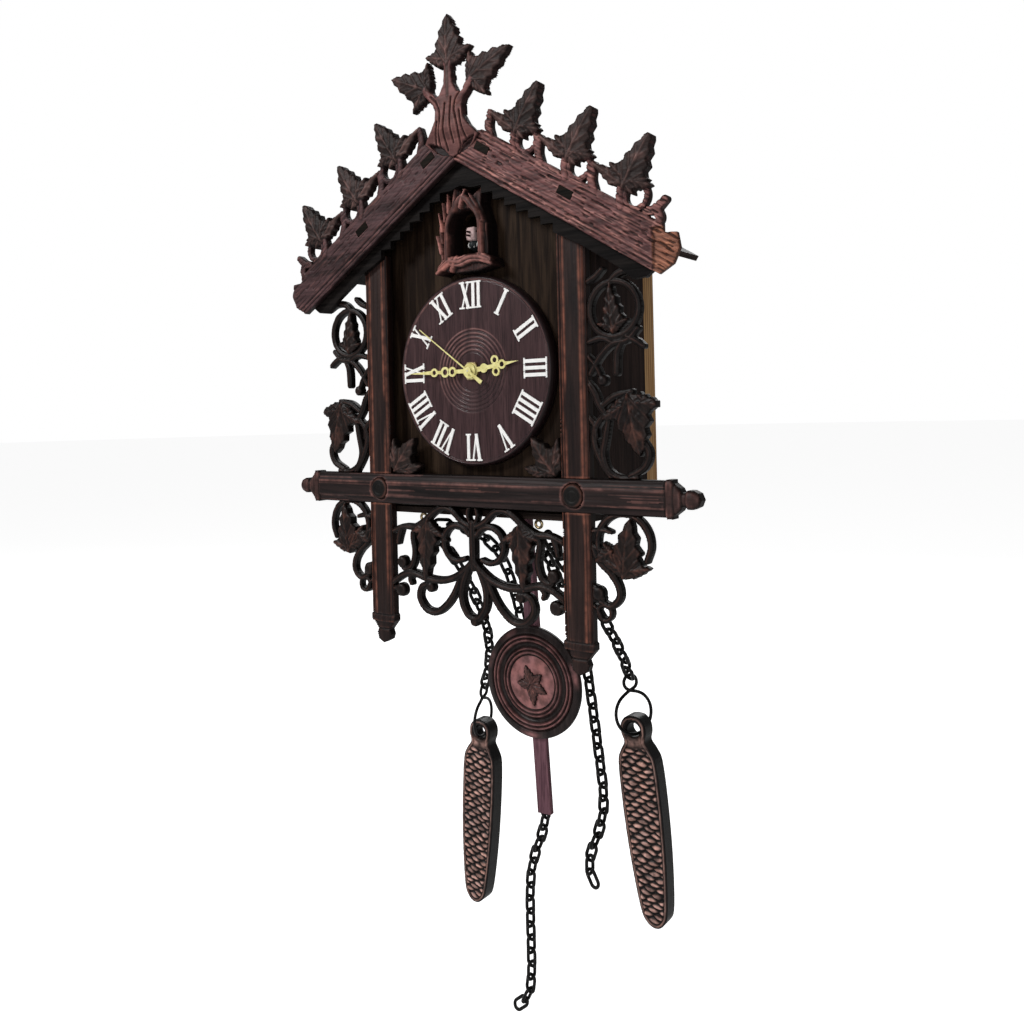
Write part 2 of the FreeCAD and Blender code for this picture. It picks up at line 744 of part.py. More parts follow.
def centre_fret_half():
    """The right half of the large scroll that hangs between the posts."""
    return [
        stroke(4.4, [(0, -23), (9, -19), (17, -12.5), (24, -11), (31, -14), (39, -20), (48, -24.5), (58, -25),
                     (69, -29)]),
        ring(12.5, -33, 11.2, 4.2, 150, -120),
        leaf(36, -19, 41, 10.5, 176),
        stroke(4.0, [(22, -32), (28, -27), (36, -24)]),
        stroke(4.2, [(46, -24), (50, -30), (48.5, -41), (51, -50), (57, -53), (60, -50)]),
        disc(59.5, -48.5, 4.2),
        stroke(4.2, [(60, -26), (62, -31), (63, -36)]),
        stroke(4.6, [(0, -44), (7, -50), (15, -55), (26, -58), (38, -57.5), (50, -55), (59, -57), (69, -63)]),
        disc(61, -67, 4.6),
        stroke(3.6, [(61, -67), (65, -66), (69, -67)]),
        stroke(3.6, [(50, -55), (53, -59), (52, -62)]),
        stroke(4.6, [(10, -52), (14, -62), (21, -72), (30, -78.5), (39, -78), (45, -71), (43.5, -64),
                     (38, -61)]),
        disc(35.5, -63, 3.6),
        stroke(4.6, [(0, -42), (6, -52), (9.5, -62), (9, -71), (5, -77.5), (0, -80)]),
        stroke(2.6, [(0, -23), (3.4, -17), (3.4, -12), (0, -5)]),
        disc(0, -81.5, 3.2),
    ]


def make_frets():
    """The pierced scrollwork between and beside the posts."""
    edge = size("post_centre") + size("post_width") / 2
    inner = size("post_centre") - size("post_width") / 2
    half = size("beam_half_height")
    side = side_fret_faces()
    lower = lower_fret_faces()
    for name, sign in (("right", 1), ("left", -1)):
        above = [(sign * x, z) for x, z in [(edge, half), (140, half), (140, 136), (edge, 136)]]
        below = [(sign * x, z) for x, z in [(edge, -half), (130, -half), (130, -74), (edge, -74)]]
        upper_faces = side if sign > 0 else [mirrored(face) for face in side]
        lower_faces = lower if sign > 0 else [mirrored(face) for face in lower]
        carved(f"side_fret_{name}", upper_faces, "dims.fret_front", "dims.fret_board", above)
        carved(f"lower_fret_{name}", lower_faces, "dims.fret_front", "dims.fret_board", below)
    middle = centre_fret_half()
    stem = stroke(5.0, [(0, -20), (0, -33), (0, -48)])
    faces = [stem] + middle + [mirrored(face) for face in middle]
    carved("centre_fret", faces, "dims.fret_front", "dims.fret_board",
           [(-inner, -90), (inner, -90), (inner, -half), (-inner, -half)])
    corner = [
        leaf(64, 11, 29, 11.5, -38),
        leaf(57, 12, 17, 6.5, -78),
        leaf(62, 12, 22, 6.5, 8),
    ]
    frame = [(30, half), (inner, half), (inner, 45), (30, 45)]
    carved("corner_leaf_right", corner, "dims.fret_front", "dims.fret_board", frame)
    carved("corner_leaf_left", [mirrored(face) for face in corner], "dims.fret_front", "dims.fret_board",
           mirror_points(frame))


# ---------------------------------------------------------------- dial and hands

def make_dial():
    """The turned dial: a rim line and rings cut about the middle."""
    body = doc.addObject("PartDesign::Body", "dial_disc")
    outline = new_sketch(body, "dial_outline")
    draw_circle(outline, 0, 0, size("dial_radius"), "dims.dial_radius")
    draw_circle(outline, 0, 0, size("neck_radius") + 0.2, "dims.neck_radius + 0.2")
    pad(body, outline, "dims.dial_board")
    for index in range(7):
        rings = new_sketch(body, f"dial_ring_{index + 1}")
        inner = 12 + 2.6 * index if index < 6 else size("dial_radius") - 1.8
        draw_circle(rings, 0, 0, inner)
        draw_circle(rings, 0, 0, inner + 0.9)
        cut(body, rings, "0.5")
    keep(body, "dial_disc", "dims.dial_front", "dims.dial_level")


NUMERALS = ["XII", "I", "II", "III", "IIII", "V", "VI", "VII", "VIII", "IX", "X", "XI"]
GLYPH_WIDTH = {"I": 4.2, "V": 8.2, "X": 8.4}
GLYPH_HEIGHT = 17.0


def bar(x0, z0, x1, z1, width):
    """A straight stroke of a numeral, square to its own line."""
    along = Vector(x1 - x0, 0, z1 - z0)
    along.normalize()
    side = Vector(-along.z, 0, along.x) * (width / 2)
    corners = [Vector(x0, 0, z0) + side, Vector(x1, 0, z1) + side, Vector(x1, 0, z1) - side,
               Vector(x0, 0, z0) - side]
    return flat_face([(corner.x, corner.z) for corner in corners])


def glyph(letter, x):
    """The bars of one Roman letter, its middle at x."""
    top = GLYPH_HEIGHT / 2
    if letter == "I":
        bars = [(x, -top, x, top, 2.2)]
        feet = (x,)
        heads = (x,)
    elif letter == "V":
        bars = [(x - 2.6, top, x, -top, 2.2), (x + 2.6, top, x, -top, 1.0)]
        feet = ()
        heads = (x - 2.6, x + 2.6)
    else:
        bars = [(x - 2.6, top, x + 2.6, -top, 2.2), (x + 2.6, top, x - 2.6, -top, 1.0)]
        feet = (x - 2.6, x + 2.6)
        heads = feet
    for place in feet:
        bars.append((place - 2.0, 0.5 - top, place + 2.0, 0.5 - top, 1.0))
    for place in heads:
        bars.append((place - 2.0, top - 0.5, place + 2.0, top - 0.5, 1.0))
    return [bar(*line) for line in bars]


def make_numerals():
    """Twelve applied Roman numerals, their feet towards the middle."""
    faces = []
    for hour, text in enumerate(NUMERALS):
        widths = [GLYPH_WIDTH[letter] for letter in text]
        x = -sum(widths) / 2
        letters = []
        for letter, width in zip(text, widths):
            letters += glyph(letter, x + width / 2)
            x += width
        numeral = letters[0].multiFuse(letters[1:])
        numeral.translate(Vector(0, 0, size("numeral_radius")))
        numeral.rotate(Vector(0, 0, 0), Vector(0, 1, 0), 30 * hour)
        faces.append(numeral.removeSplitter())
    profile = doc.addObject("Part::Feature", "hour_numerals_profile")
    profile.Shape = Part.makeCompound(faces)
    solid = doc.addObject("Part::Extrusion", "hour_numerals")
    solid.Base = profile
    solid.DirMode = "Custom"
    solid.Dir = Vector(0, 1, 0)
    solid.Solid = True
    solid.setExpression("LengthFwd", "dims.numeral_board")
    keep(solid, "hour_numerals", "dims.dial_front - dims.numeral_board", "dims.dial_level")


def make_hand(label, faces, bore, angle, front):
    """A flat hand drawn pointing up, turned clockwise to its hour."""
    outline = faces[0].multiFuse(faces[1:]).cut(disc(0, 0, bore)).removeSplitter()
    outline.rotate(Vector(0, 0, 0), Vector(0, 1, 0), angle)
    profile = doc.addObject("Part::Feature", f"{label}_profile")
    profile.Shape = outline
    solid = doc.addObject("Part::Extrusion", label)
    solid.Base = profile
    solid.DirMode = "Custom"
    solid.Dir = Vector(0, 1, 0)
    solid.Solid = True
    solid.setExpression("LengthFwd", "dims.hand_board")
    keep(solid, label, front, "dims.dial_level")


def make_hands():
    """The hour hand with its trefoil, the minute hand with its open loops and the second hand."""
    hour = [
        disc(0, 0, 5.2), flat_face([(-1.6, 3), (1.6, 3), (1.2, 18), (-1.2, 18)]),
        hole_ring(0, 10.5, 2.9, 1.5), hole_ring(-3.6, 19.5, 2.9, 1.6), hole_ring(3.6, 19.5, 2.9, 1.6),
        hole_ring(0, 24.5, 2.9, 1.6), flat_face([(-1.2, 26.5), (1.2, 26.5), (0, 37)]),
        flat_face([(-1.4, 18), (1.4, 18), (1.4, 23), (-1.4, 23)]),
    ]
    minute = [
        disc(0, 0, 4.6), flat_face([(-1.4, 3), (1.4, 3), (1.1, 12), (-1.1, 12)]),
        hole_ring(0, 13.5, 3.2, 1.7), hole_ring(0, 19.5, 3.4, 1.9), hole_ring(0, 28.5, 2.8, 1.5),
        flat_face([(-1.1, 22), (1.1, 22), (1.0, 26.5), (-1.0, 26.5)]),
        flat_face([(-1.3, 30.5), (1.3, 30.5), (0, 51)]),
    ]
    second = [
        disc(0, 0, 2.4), flat_face([(-0.5, 1), (0.5, 1), (0.25, 48), (-0.25, 48)]),
        flat_face([(-0.7, -1), (0.7, -1), (1.4, -13), (-1.4, -13)]),
    ]
    make_hand("hour_hand", hour, size("hour_tube_radius"), HOUR_ANGLE, "2.9")
    make_hand("minute_hand", minute, size("minute_tube_radius"), MINUTE_ANGLE, "1.4")
    make_hand("second_hand", second, size("second_arbor_radius"), SECOND_ANGLE, "-0.2")
    nut = doc.addObject("PartDesign::Body", "dial_nut")
    outline = new_sketch(nut, "nut_outline")
    corners = [(6.4 * math.cos(math.pi * k / 3), 6.4 * math.sin(math.pi * k / 3)) for k in range(6)]
    draw_polygon(outline, corners)
    draw_circle(outline, 0, 0, size("neck_radius") + 0.05, "dims.neck_radius + dims.running_gap")
    pad(nut, outline, "1.4")
    keep(nut, "dial_nut", "dims.dial_front - 1.4", "dims.dial_level")


# ---------------------------------------------------------------- nest and bird

def make_nest():
    """The carved nest mouth, the tunnel behind it, and the bird on its sliding carriage."""
    label = "nest_front"
    depth = "dims.panel_front - dims.nest_front_plane"
    body = doc.addObject("PartDesign::Body", label)
    rear = new_sketch(body, "nest_outline")
    draw_polygon(rear, [
        (-20, 140), (-8, 137.5), (8, 137.5), (22, 140), (17, 147), (17, 166), (12, 180), (14, 190),
        (4, 184), (-6, 191), (-10, 183), (-17, 183), (-16, 172), (-22, 162), (-17, 150),
    ])
    draw_polygon(rear, arch_points(nest_half, nest_low, nest_spring))
    pad(body, rear, depth)
    keep(body, label, "dims.nest_front_plane")
    box = doc.addObject("PartDesign::Body", "nest_box")
    tunnel = new_sketch(box, "tunnel_outline")
    outer = nest_half + 2
    draw_box(tunnel, -outer, nest_low - 3, outer, nest_spring + outer)
    draw_box(tunnel, -nest_half, nest_low - 1, nest_half, nest_spring + nest_half)
    pad(box, tunnel, "44")
    keep(box, "nest_box", "dims.panel_front + dims.wall_board")
    carriage = Part.makeBox(12, 40, 2, Vector(-6, 10, nest_low + 0.3))
    handle = Part.makeBox(6, 3, 14, Vector(-3, 46, nest_low + 0.3))
    feature = doc.addObject("Part::Feature", "bird_carriage")
    feature.Shape = carriage.fuse(handle).removeSplitter()
    keep(feature, "bird_carriage")
    chest = Part.makeSphere(4.8, Vector(0, 11, nest_low + 7.4))
    rump = Part.makeSphere(4.8, Vector(0, 17, nest_low + 7.4))
    torso = Part.makeCylinder(4.8, 6, Vector(0, 11, nest_low + 7.4), Vector(0, 1, 0))
    head = Part.makeSphere(4.4, Vector(0, 9.5, nest_low + 14.5))
    beak = Part.makeCone(1.7, 0.3, 5, Vector(0, 5.6, nest_low + 14.2), Vector(0, -1, 0))
    tail = Part.makeBox(6, 12, 1.6, Vector(-3, 18, nest_low + 6))
    leg = Part.makeCylinder(1.0, 5, Vector(0, 14, nest_low + 2.3))
    bird = doc.addObject("Part::Feature", "cuckoo_bird")
    bird.Shape = torso.fuse([chest, rump, head, beak, tail, leg])
    keep(bird, "cuckoo_bird")


# ---------------------------------------------------------------- movement

def make_movement():
    """The quartz movement: a shell with a threaded neck, and a cover."""
    half = size("movement_half")
    skin = size("movement_wall")
    body = doc.addObject("PartDesign::Body", "movement_case")
    outline = new_sketch(body, "shell_outline")
    draw_box(outline, -half, -half, half, half)
    pad(body, outline, "dims.movement_depth")
    hollow = new_sketch(body, "shell_hollow", offset=-skin)
    draw_box(hollow, skin - half, skin - half, half - skin, half - skin)
    cut(body, hollow, "dims.movement_depth - dims.movement_wall")
    neck = new_sketch(body, "neck_outline", offset=12.6)
    draw_circle(neck, 0, 0, size("neck_radius"), "dims.neck_radius")
    pad(body, neck, "12.6 + dims.movement_wall")
    bore = new_sketch(body, "neck_bore")
    draw_circle(bore, 0, 0, size("hour_tube_radius") + 0.05, "dims.hour_tube_radius + dims.running_gap")
    cut(body, bore)
    keep(body, "movement_case", "dims.movement_front", "dims.dial_level")
    cover = doc.addObject("PartDesign::Body", "movement_cover")
    lid = new_sketch(cover, "cover_outline")
    draw_box(lid, -half, -half, half, half)
    draw_circle(lid, 0, 0, size("second_arbor_radius") + 0.05, "dims.second_arbor_radius + dims.running_gap")
    for x, z, radius in (THIRD_PLACE + (0.55,), MOTION_PLACE + (0.55,)):
        draw_circle(lid, x, z, radius)
    pad(cover, lid, "dims.movement_wall")
    keep(cover, "movement_cover", "dims.movement_front + dims.movement_depth", "dims.dial_level")


def toothed(radius, teeth, depth, place, front):
    """A thin wheel with square-topped teeth, its front face on the given plane."""
    outline = []
    for index in range(teeth):
        for share, reach in ((0.0, 0), (0.25, 0), (0.35, 0.7), (0.65, 0.7), (0.75, 0)):
            angle = 2 * math.pi * (index + share) / teeth
            reached = radius - 0.7 + reach
            outline.append((place[0] + reached * math.cos(angle), place[1] + reached * math.sin(angle)))
    face = flat_face(outline)
    face.translate(Vector(0, front, 0))
    return face.extrude(Vector(0, depth, 0))


def rod_y(radius, place, front, back):
    """A round bar along Y between two planes."""
    return Part.makeCylinder(radius, back - front, Vector(place[0], front, place[1]), Vector(0, 1, 0))


def make_train():
    """The wheels that drive the hands, each on its own arbor."""
    gap = size("running_gap")
    arbor = size("second_arbor_radius")
    minute = size("minute_tube_radius")
    hour = size("hour_tube_radius")
    centre = (0.0, 0.0)
    neck_end = 3.6
    wheels = {
        "second_wheel": [
            toothed(8.6, 30, 0.8, centre, 34.6), toothed(2.2, 8, 1.6, centre, 32.4),
            rod_y(arbor, centre, -0.4, 39.6),
        ],
        "third_wheel": [
            toothed(9.0, 60, 0.8, THIRD_PLACE, 32.8), toothed(2.2, 8, 1.8, THIRD_PLACE, 29.4),
            rod_y(0.5, THIRD_PLACE, 22.0, 39.6),
        ],
        "centre_wheel": [
            toothed(9.0, 64, 0.8, centre, 29.8), toothed(3.4, 12, 1.8, centre, 26.4),
            rod_y(minute, centre, 1.2, 30.6),
        ],
        "motion_wheel": [
            toothed(8.6, 36, 0.8, MOTION_PLACE, 26.8), toothed(3.0, 10, 1.8, MOTION_PLACE, 23.4),
            rod_y(0.5, MOTION_PLACE, 20.0, 39.6),
        ],
        "hour_wheel": [
            toothed(9.0, 40, 0.8, centre, 23.8), rod_y(hour, centre, 2.7, 24.6),
        ],
    }
    bores = {
        "centre_wheel": rod_y(arbor + gap, centre, 0, 40),
        "hour_wheel": rod_y(minute + gap, centre, 0, 40),
    }
    for label, pieces in wheels.items():
        solid = pieces[0].fuse(pieces[1:])
        if label in bores:
            solid = solid.cut(bores[label])
        feature = doc.addObject("Part::Feature", label)
        feature.Shape = solid.removeSplitter()
        keep(feature, label, "0", "dims.dial_level")


def make_power():
    """The battery box with its cells, the loudspeaker and the pendulum drive."""
    box = doc.addObject("PartDesign::Body", "battery_box")
    plan = new_sketch(box, "battery_box_plan")
    draw_box(plan, 30, 8, 70, 64)
    pad(box, plan, "20")
    bay = new_sketch(box, "battery_bay", offset=-2)
    draw_box(bay, 32, 10, 64, 62)
    cut(box, bay, "18")
    keep(box, "battery_box", "60")
    cells = []
    for x in (40.1, 55.9):
        cell = Part.makeCylinder(7.2, 49, Vector(x, 71, 11.2))
        knob = Part.makeCylinder(2.6, 1.3, Vector(x, 71, 60.2))
        cells.append(cell.fuse(knob))
    batteries = doc.addObject("Part::Feature", "batteries")
    batteries.Shape = Part.makeCompound(cells)
    keep(batteries, "batteries")
    speaker = doc.addObject("Part::Feature", "speaker")
    cone = Part.makeCone(9, 21, 10, Vector(SPEAKER_SIDE, 74.5, SPEAKER_LEVEL), Vector(0, 1, 0))
    rim = rod_y(23, (SPEAKER_SIDE, SPEAKER_LEVEL), 84.5, 87)
    magnet = rod_y(12, (SPEAKER_SIDE, SPEAKER_LEVEL), 67, 74.5)
    speaker.Shape = cone.fuse([rim, magnet])
    keep(speaker, "speaker")
    drive = doc.addObject("PartDesign::Body", "pendulum_drive")
    case = new_sketch(drive, "drive_outline")
    draw_box(case, -22, size("pendulum_pivot") - 30, 22, size("pendulum_pivot") + 12)
    pad(drive, case, "10.4")
    pin = new_sketch(drive, "drive_pin", offset=-10.4)
    draw_circle(pin, 0, size("pendulum_pivot"), 1.2)
    pad(drive, pin, "7.4")
    keep(drive, "pendulum_drive", "39.8")


# ---------------------------------------------------------------- pendulum

def bob_leaf_points():
    """The four-lobed ivy leaf carved on the bob."""
    outline = []
    for index in range(48):
        angle = 2 * math.pi * index / 48
        reach = 8.5 + 4.2 * math.cos(4 * (angle - 0.35)) + 1.2 * math.cos(12 * angle)
        outline.append((reach * math.cos(angle), reach * math.sin(angle) - size("bob_distance")))
    return outline


def make_pendulum():
    """The plain stick and the turned bob, drawn hanging straight and placed swung to one side."""
    swing = Rotation(Vector(0, 1, 0), -size("pendulum_swing"))
    rod = doc.addObject("PartDesign::Body", "pendulum_rod")
    outline = new_sketch(rod, "rod_outline")
    half = size("rod_width") / 2
    tail = -size("rod_length")
    neck = half - 2
    draw_polygon(outline, [(-half, tail), (half, tail), (half, -3), (neck, 4), (-neck, 4), (-half, -3)])
    draw_circle(outline, 0, 0, 1.25)
    pad(rod, outline, "dims.rod_board")
    bob = doc.addObject("PartDesign::Body", "pendulum_bob")
    disc_outline = new_sketch(bob, "bob_outline")
    draw_circle(disc_outline, 0, -size("bob_distance"), size("bob_radius"), "dims.bob_radius")
    pad(bob, disc_outline, "dims.bob_board")
    for inner, outer in ((20, 21.5), (23.5, 27.0), (29.5, 31.0)):
        groove = new_sketch(bob, f"bob_groove_{int(inner)}")
        draw_circle(groove, 0, -size("bob_distance"), inner)
        draw_circle(groove, 0, -size("bob_distance"), outer)
        cut(bob, groove, "1")
    medallion = new_sketch(bob, "bob_medallion", offset=1.2)
    draw_polygon(medallion, bob_leaf_points())
    pad(bob, medallion, "1.4")
    rod.Placement = Placement(Vector(0, 0, 0), swing)
    bob.Placement = Placement(Vector(0, 0, 0), swing)
    keep(rod, "pendulum_rod", "dims.pendulum_plane + dims.bob_board", "dims.pendulum_pivot")
    keep(bob, "pendulum_bob", "dims.pendulum_plane", "dims.pendulum_pivot")


# ---------------------------------------------------------------- chains and weights

def chain_link():
    """One oval link about the origin, its length along Z and its loop in the XZ plane."""
    radius = size("wire_radius")
    end = size("link_width") / 2 - radius
    reach = (size("link_pitch") + 0.4) / 2 + radius - end
    top = Part.Arc(Vector(-end, 0, reach), Vector(0, 0, reach + end), Vector(end, 0, reach))
    low = Part.Arc(Vector(end, 0, -reach), Vector(0, 0, -reach - end), Vector(-end, 0, -reach))
    right = Part.LineSegment(Vector(end, 0, reach), Vector(end, 0, -reach))
    left = Part.LineSegment(Vector(-end, 0, -reach), Vector(-end, 0, reach))
    path = Part.Wire([top.toShape(), right.toShape(), low.toShape(), left.toShape()])
    section = Part.Wire(Part.Circle(Vector(-end, 0, reach), Vector(0, 0, 1), radius).toShape())
    return path.makePipeShell([section], True, True)


def strand(label, points):
    """A chain of links hung along a smooth line, each link turned a quarter from the last."""
    line = Part.BSplineCurve()
    line.interpolate([Vector(*point) for point in points])
    count = math.ceil(line.length() / size("link_pitch"))
    pitch = line.length() / count
    link = chain_link()
    links = []
    for index in range(count):
        start = line.value(line.parameterAtDistance(pitch * index, line.FirstParameter))
        end = line.value(line.parameterAtDistance(pitch * (index + 1), line.FirstParameter))
        turn = Rotation(Vector(0, 0, 1), LINK_TURN + 90 * ((count - 1 - index) % 2))
        tilt = Rotation(Vector(0, 0, -1), end - start)
        piece = link.copy()
        piece.Placement = Placement((start + end) * 0.5, tilt.multiply(turn))
        links.append(piece)
    feature = doc.addObject("Part::Feature", label)
    feature.Shape = Part.makeCompound(links)
    keep(feature, label)


def make_hooks():
    """Two brass hooks screwed up into the floor, one for each chain."""
    radius = size("hook_wire")
    plane = size("hook_plane")
    seat = size("hook_level")
    foot = seat + size("hook_radius")
    length = size("case_bottom") - 0.2 - foot
    solids = []
    for x in HOOK_PLACES:
        shank = Part.makeCylinder(radius, length, Vector(x, plane, foot))
        eye = Part.makeTorus(size("hook_radius"), radius, Vector(x, plane, seat), Vector(0, 1, 0))
        solids.append(shank.fuse(eye).removeSplitter())
    feature = doc.addObject("Part::Feature", "chain_hooks")
    feature.Shape = Part.makeCompound(solids)
    keep(feature, "chain_hooks")


def make_chains():
    """The four strands, the wire loops and the two fir-cone weights."""
    for name, points in CHAIN_LINES.items():
        strand(name, points)
    for side, (x, z, lean, loop_turn) in CONE_PLACES.items():
        make_weight(side, x, z, lean, loop_turn)


def make_weight(side, x, z, lean, loop_turn):
    """A flat fir cone with an eye, on a figure-of-eight wire loop, leaning by degrees."""
    plane = size("back_front") + size("back_depth") - size("cone_board")
    tilt = Rotation(Vector(0, 1, 0), lean)
    cone = doc.addObject("PartDesign::Body", f"cone_weight_{side}")
    outline = new_sketch(cone, f"cone_outline_{side}")
    low = -size("cone_length")
    right = [(0, 10.4), (5.2, 9.2), (8.7, 4.6), (9, -1.2), (7.6, -6.9), (11, -12.6), (13.8, -20.7),
             (14.3, -46), (13.1, -80), (9.9, low + 13), (6.3, low + 3.4), (0, low)]
    draw_polygon(outline, right + [(-px, pz) for px, pz in reversed(right[1:-1])])
    draw_circle(outline, 0, 1, EYE_RADIUS)
    pad(cone, outline, "dims.cone_board")
    cone.Placement = Placement(Vector(0, 0, 0), tilt)
    keep(cone, f"cone_weight_{side}", f"{plane}", f"{z}", f"{x}")
    big = 14.0
    small = 5.5
    turn = math.radians(loop_turn)
    facing = Vector(-math.sin(turn), math.cos(turn), 0)
    centre = Vector(0, size("cone_board") / 2, big - 2.6)
    large = Part.makeTorus(big, size("loop_wire"), centre, facing)
    little = Part.makeTorus(small, size("loop_wire"), centre + Vector(0, 0, big + small), facing)
    wire = doc.addObject("Part::Feature", f"weight_wire_{side}")
    wire.Shape = large.fuse(little)
    wire.Placement = Placement(Vector(0, 0, 0), tilt)
    keep(wire, f"weight_wire_{side}", f"{plane}", f"{z}", f"{x}")


make_case()
make_roof()
make_bargeboards()
make_gable_trim()
make_crestings()
make_posts()
make_beam()
make_pegs()
make_frets()
make_dial()
make_numerals()
make_hands()
make_nest()
make_movement()
make_train()
make_power()
make_pendulum()
make_hooks()
make_chains()
doc.recompute()

faults = [obj.Label for obj in doc.Objects if {"Invalid", "Error"} & set(obj.State)]
if faults:
    raise RuntimeError(f"these objects failed: {faults}")
broken = [
    part.Label for part in parts
    if part.Shape.isNull() or not part.Shape.isValid() or not part.Shape.Solids
]
if broken:
    raise RuntimeError(f"these sub-parts have no valid solid: {broken}")

os.makedirs("parts", exist_ok=True)
for part in parts:
    part.Shape.exportStep(f"parts/{part.Label}.step")
print(len(parts), "sub-parts written")
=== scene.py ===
import math

import bmesh
import bpy
import numpy as np
from mathutils import Matrix, Vector


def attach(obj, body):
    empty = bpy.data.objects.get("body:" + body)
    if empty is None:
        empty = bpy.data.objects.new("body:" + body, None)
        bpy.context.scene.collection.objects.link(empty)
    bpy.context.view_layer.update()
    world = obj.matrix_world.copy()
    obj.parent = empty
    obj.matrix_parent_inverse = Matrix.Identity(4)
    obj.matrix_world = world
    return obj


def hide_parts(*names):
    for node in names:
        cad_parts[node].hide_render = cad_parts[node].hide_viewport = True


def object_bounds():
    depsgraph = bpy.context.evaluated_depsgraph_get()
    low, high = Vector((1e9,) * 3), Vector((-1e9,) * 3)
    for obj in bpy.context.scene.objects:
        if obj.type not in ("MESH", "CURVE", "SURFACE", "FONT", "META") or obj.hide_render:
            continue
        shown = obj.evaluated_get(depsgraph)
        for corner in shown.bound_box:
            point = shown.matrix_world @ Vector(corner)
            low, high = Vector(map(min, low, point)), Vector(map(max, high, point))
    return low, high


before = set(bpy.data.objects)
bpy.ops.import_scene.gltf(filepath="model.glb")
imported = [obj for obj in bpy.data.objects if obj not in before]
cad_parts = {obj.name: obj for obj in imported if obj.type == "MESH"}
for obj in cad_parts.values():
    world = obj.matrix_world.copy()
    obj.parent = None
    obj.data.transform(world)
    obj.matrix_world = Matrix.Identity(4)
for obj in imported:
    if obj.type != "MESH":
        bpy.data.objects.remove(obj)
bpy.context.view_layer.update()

# The carved pieces are drawn in millimetres on the plane of the posts' front faces, about the
# centre of the cross beam: X to the right, Z up, and depth away from the viewer.
FACADE = -94.0
BEAM = -172.0
SLOPE = 0.615
TILT = math.atan(SLOPE)


def to_row(x, depth, z):
    """Drawing millimetres to the row frame's metres, for numbers or arrays."""
    return x / 1000, (depth + FACADE) / 1000, (z + BEAM) / 1000


# ---------------------------------------------------------------- fields over a flat grid

def smooth_step(value):
    """Eases 0 to 1."""
    value = np.clip(value, 0, 1)
    return value * value * (3 - 2 * value)


def noise_field(u, v, cell_u, cell_v, seed):
    """Smooth random values from 0 to 1, with cells of the given size."""
    rng = np.random.default_rng(seed)
    lattice = rng.random((211, 223))
    a = u / cell_u + 1000.0
    b = v / cell_v + 1000.0
    i = np.floor(a).astype(int)
    j = np.floor(b).astype(int)
    fa = smooth_step(a - i)
    fb = smooth_step(b - j)
    rows, cols = lattice.shape
    p = lattice[i % rows, j % cols]
    q = lattice[(i + 1) % rows, j % cols]
    r = lattice[i % rows, (j + 1) % cols]
    s = lattice[(i + 1) % rows, (j + 1) % cols]
    return (p * (1 - fa) + q * fa) * (1 - fb) + (r * (1 - fa) + s * fa) * fb


def blur(values, weight, radius):
    """A mean over a square window, counting only where weight is not zero."""
    def run(array):
        for axis in (0, 1):
            total = np.zeros_like(array)
            for shift in range(-radius, radius + 1):
                total += np.roll(array, shift, axis)
            array = total
        return array
    return run(values * weight) / np.maximum(run(weight.astype(float)), 1)


def smooth_line(points, steps=7):
    """A smooth line through the points."""
    pts = np.array(points, float)
    if len(pts) < 3:
        return pts
    ends = np.vstack([2 * pts[0] - pts[1], pts, 2 * pts[-1] - pts[-2]])
    line = []
    for k in range(len(pts) - 1):
        a, b, c, d = ends[k:k + 4]
        for t in np.arange(steps) / steps:
            line.append(0.5 * (2 * b + (c - a) * t + (2 * a - 5 * b + 4 * c - d) * t ** 2
                               + (3 * b - a - 3 * c + d) * t ** 3))
    line.append(pts[-1])
    return np.array(line)


def to_segment(x, z, start, end):
    """How far along a segment each point lies, from 0 to 1, and how far away from it."""
    dx, dz = end[0] - start[0], end[1] - start[1]
    t = np.clip(((x - start[0]) * dx + (z - start[1]) * dz) / max(dx * dx + dz * dz, 1e-9), 0, 1)
    return t, np.hypot(x - start[0] - t * dx, z - start[1] - t * dz)


def outline_distance(x, z, points):
    """Distance to a closed outline, negative inside it."""
    pts = np.array(points, float)
    best = np.full(x.shape, 1e9)
    inside = np.zeros(x.shape, bool)
    for (ax, az), (bx, bz) in zip(pts, np.roll(pts, -1, 0)):
        best = np.minimum(best, to_segment(x, z, (ax, az), (bx, bz))[1])
        crosses = (az > z) != (bz > z)
        if az != bz:
            inside ^= crosses & (x < ax + (z - az) * (bx - ax) / (bz - az))
    return np.where(inside, -best, best)


FAR = 50.0
LEAF_EDGE = [
    (0.00, 0.07), (0.04, 0.42), (0.14, 0.78), (0.20, 0.60), (0.30, 1.00), (0.40, 0.72),
    (0.50, 0.80), (0.58, 0.52), (0.70, 0.56), (0.78, 0.32), (0.88, 0.26), (1.00, 0.0),
]


def put_in_scene(name, data):
    """A new object in the scene."""
    obj = bpy.data.objects.new(name, data)
    bpy.context.scene.collection.objects.link(obj)
    return obj


def shade_smooth(mesh):
    """Smooth shading on every face."""
    mesh.polygons.foreach_set("use_smooth", np.ones(len(mesh.polygons), bool))


def store(mesh, title, values):
    """Keeps one number for each point of a mesh, for its material to read."""
    layer = mesh.attributes.new(title, "FLOAT", "POINT")
    layer.data.foreach_set("value", np.array(values, np.float32))


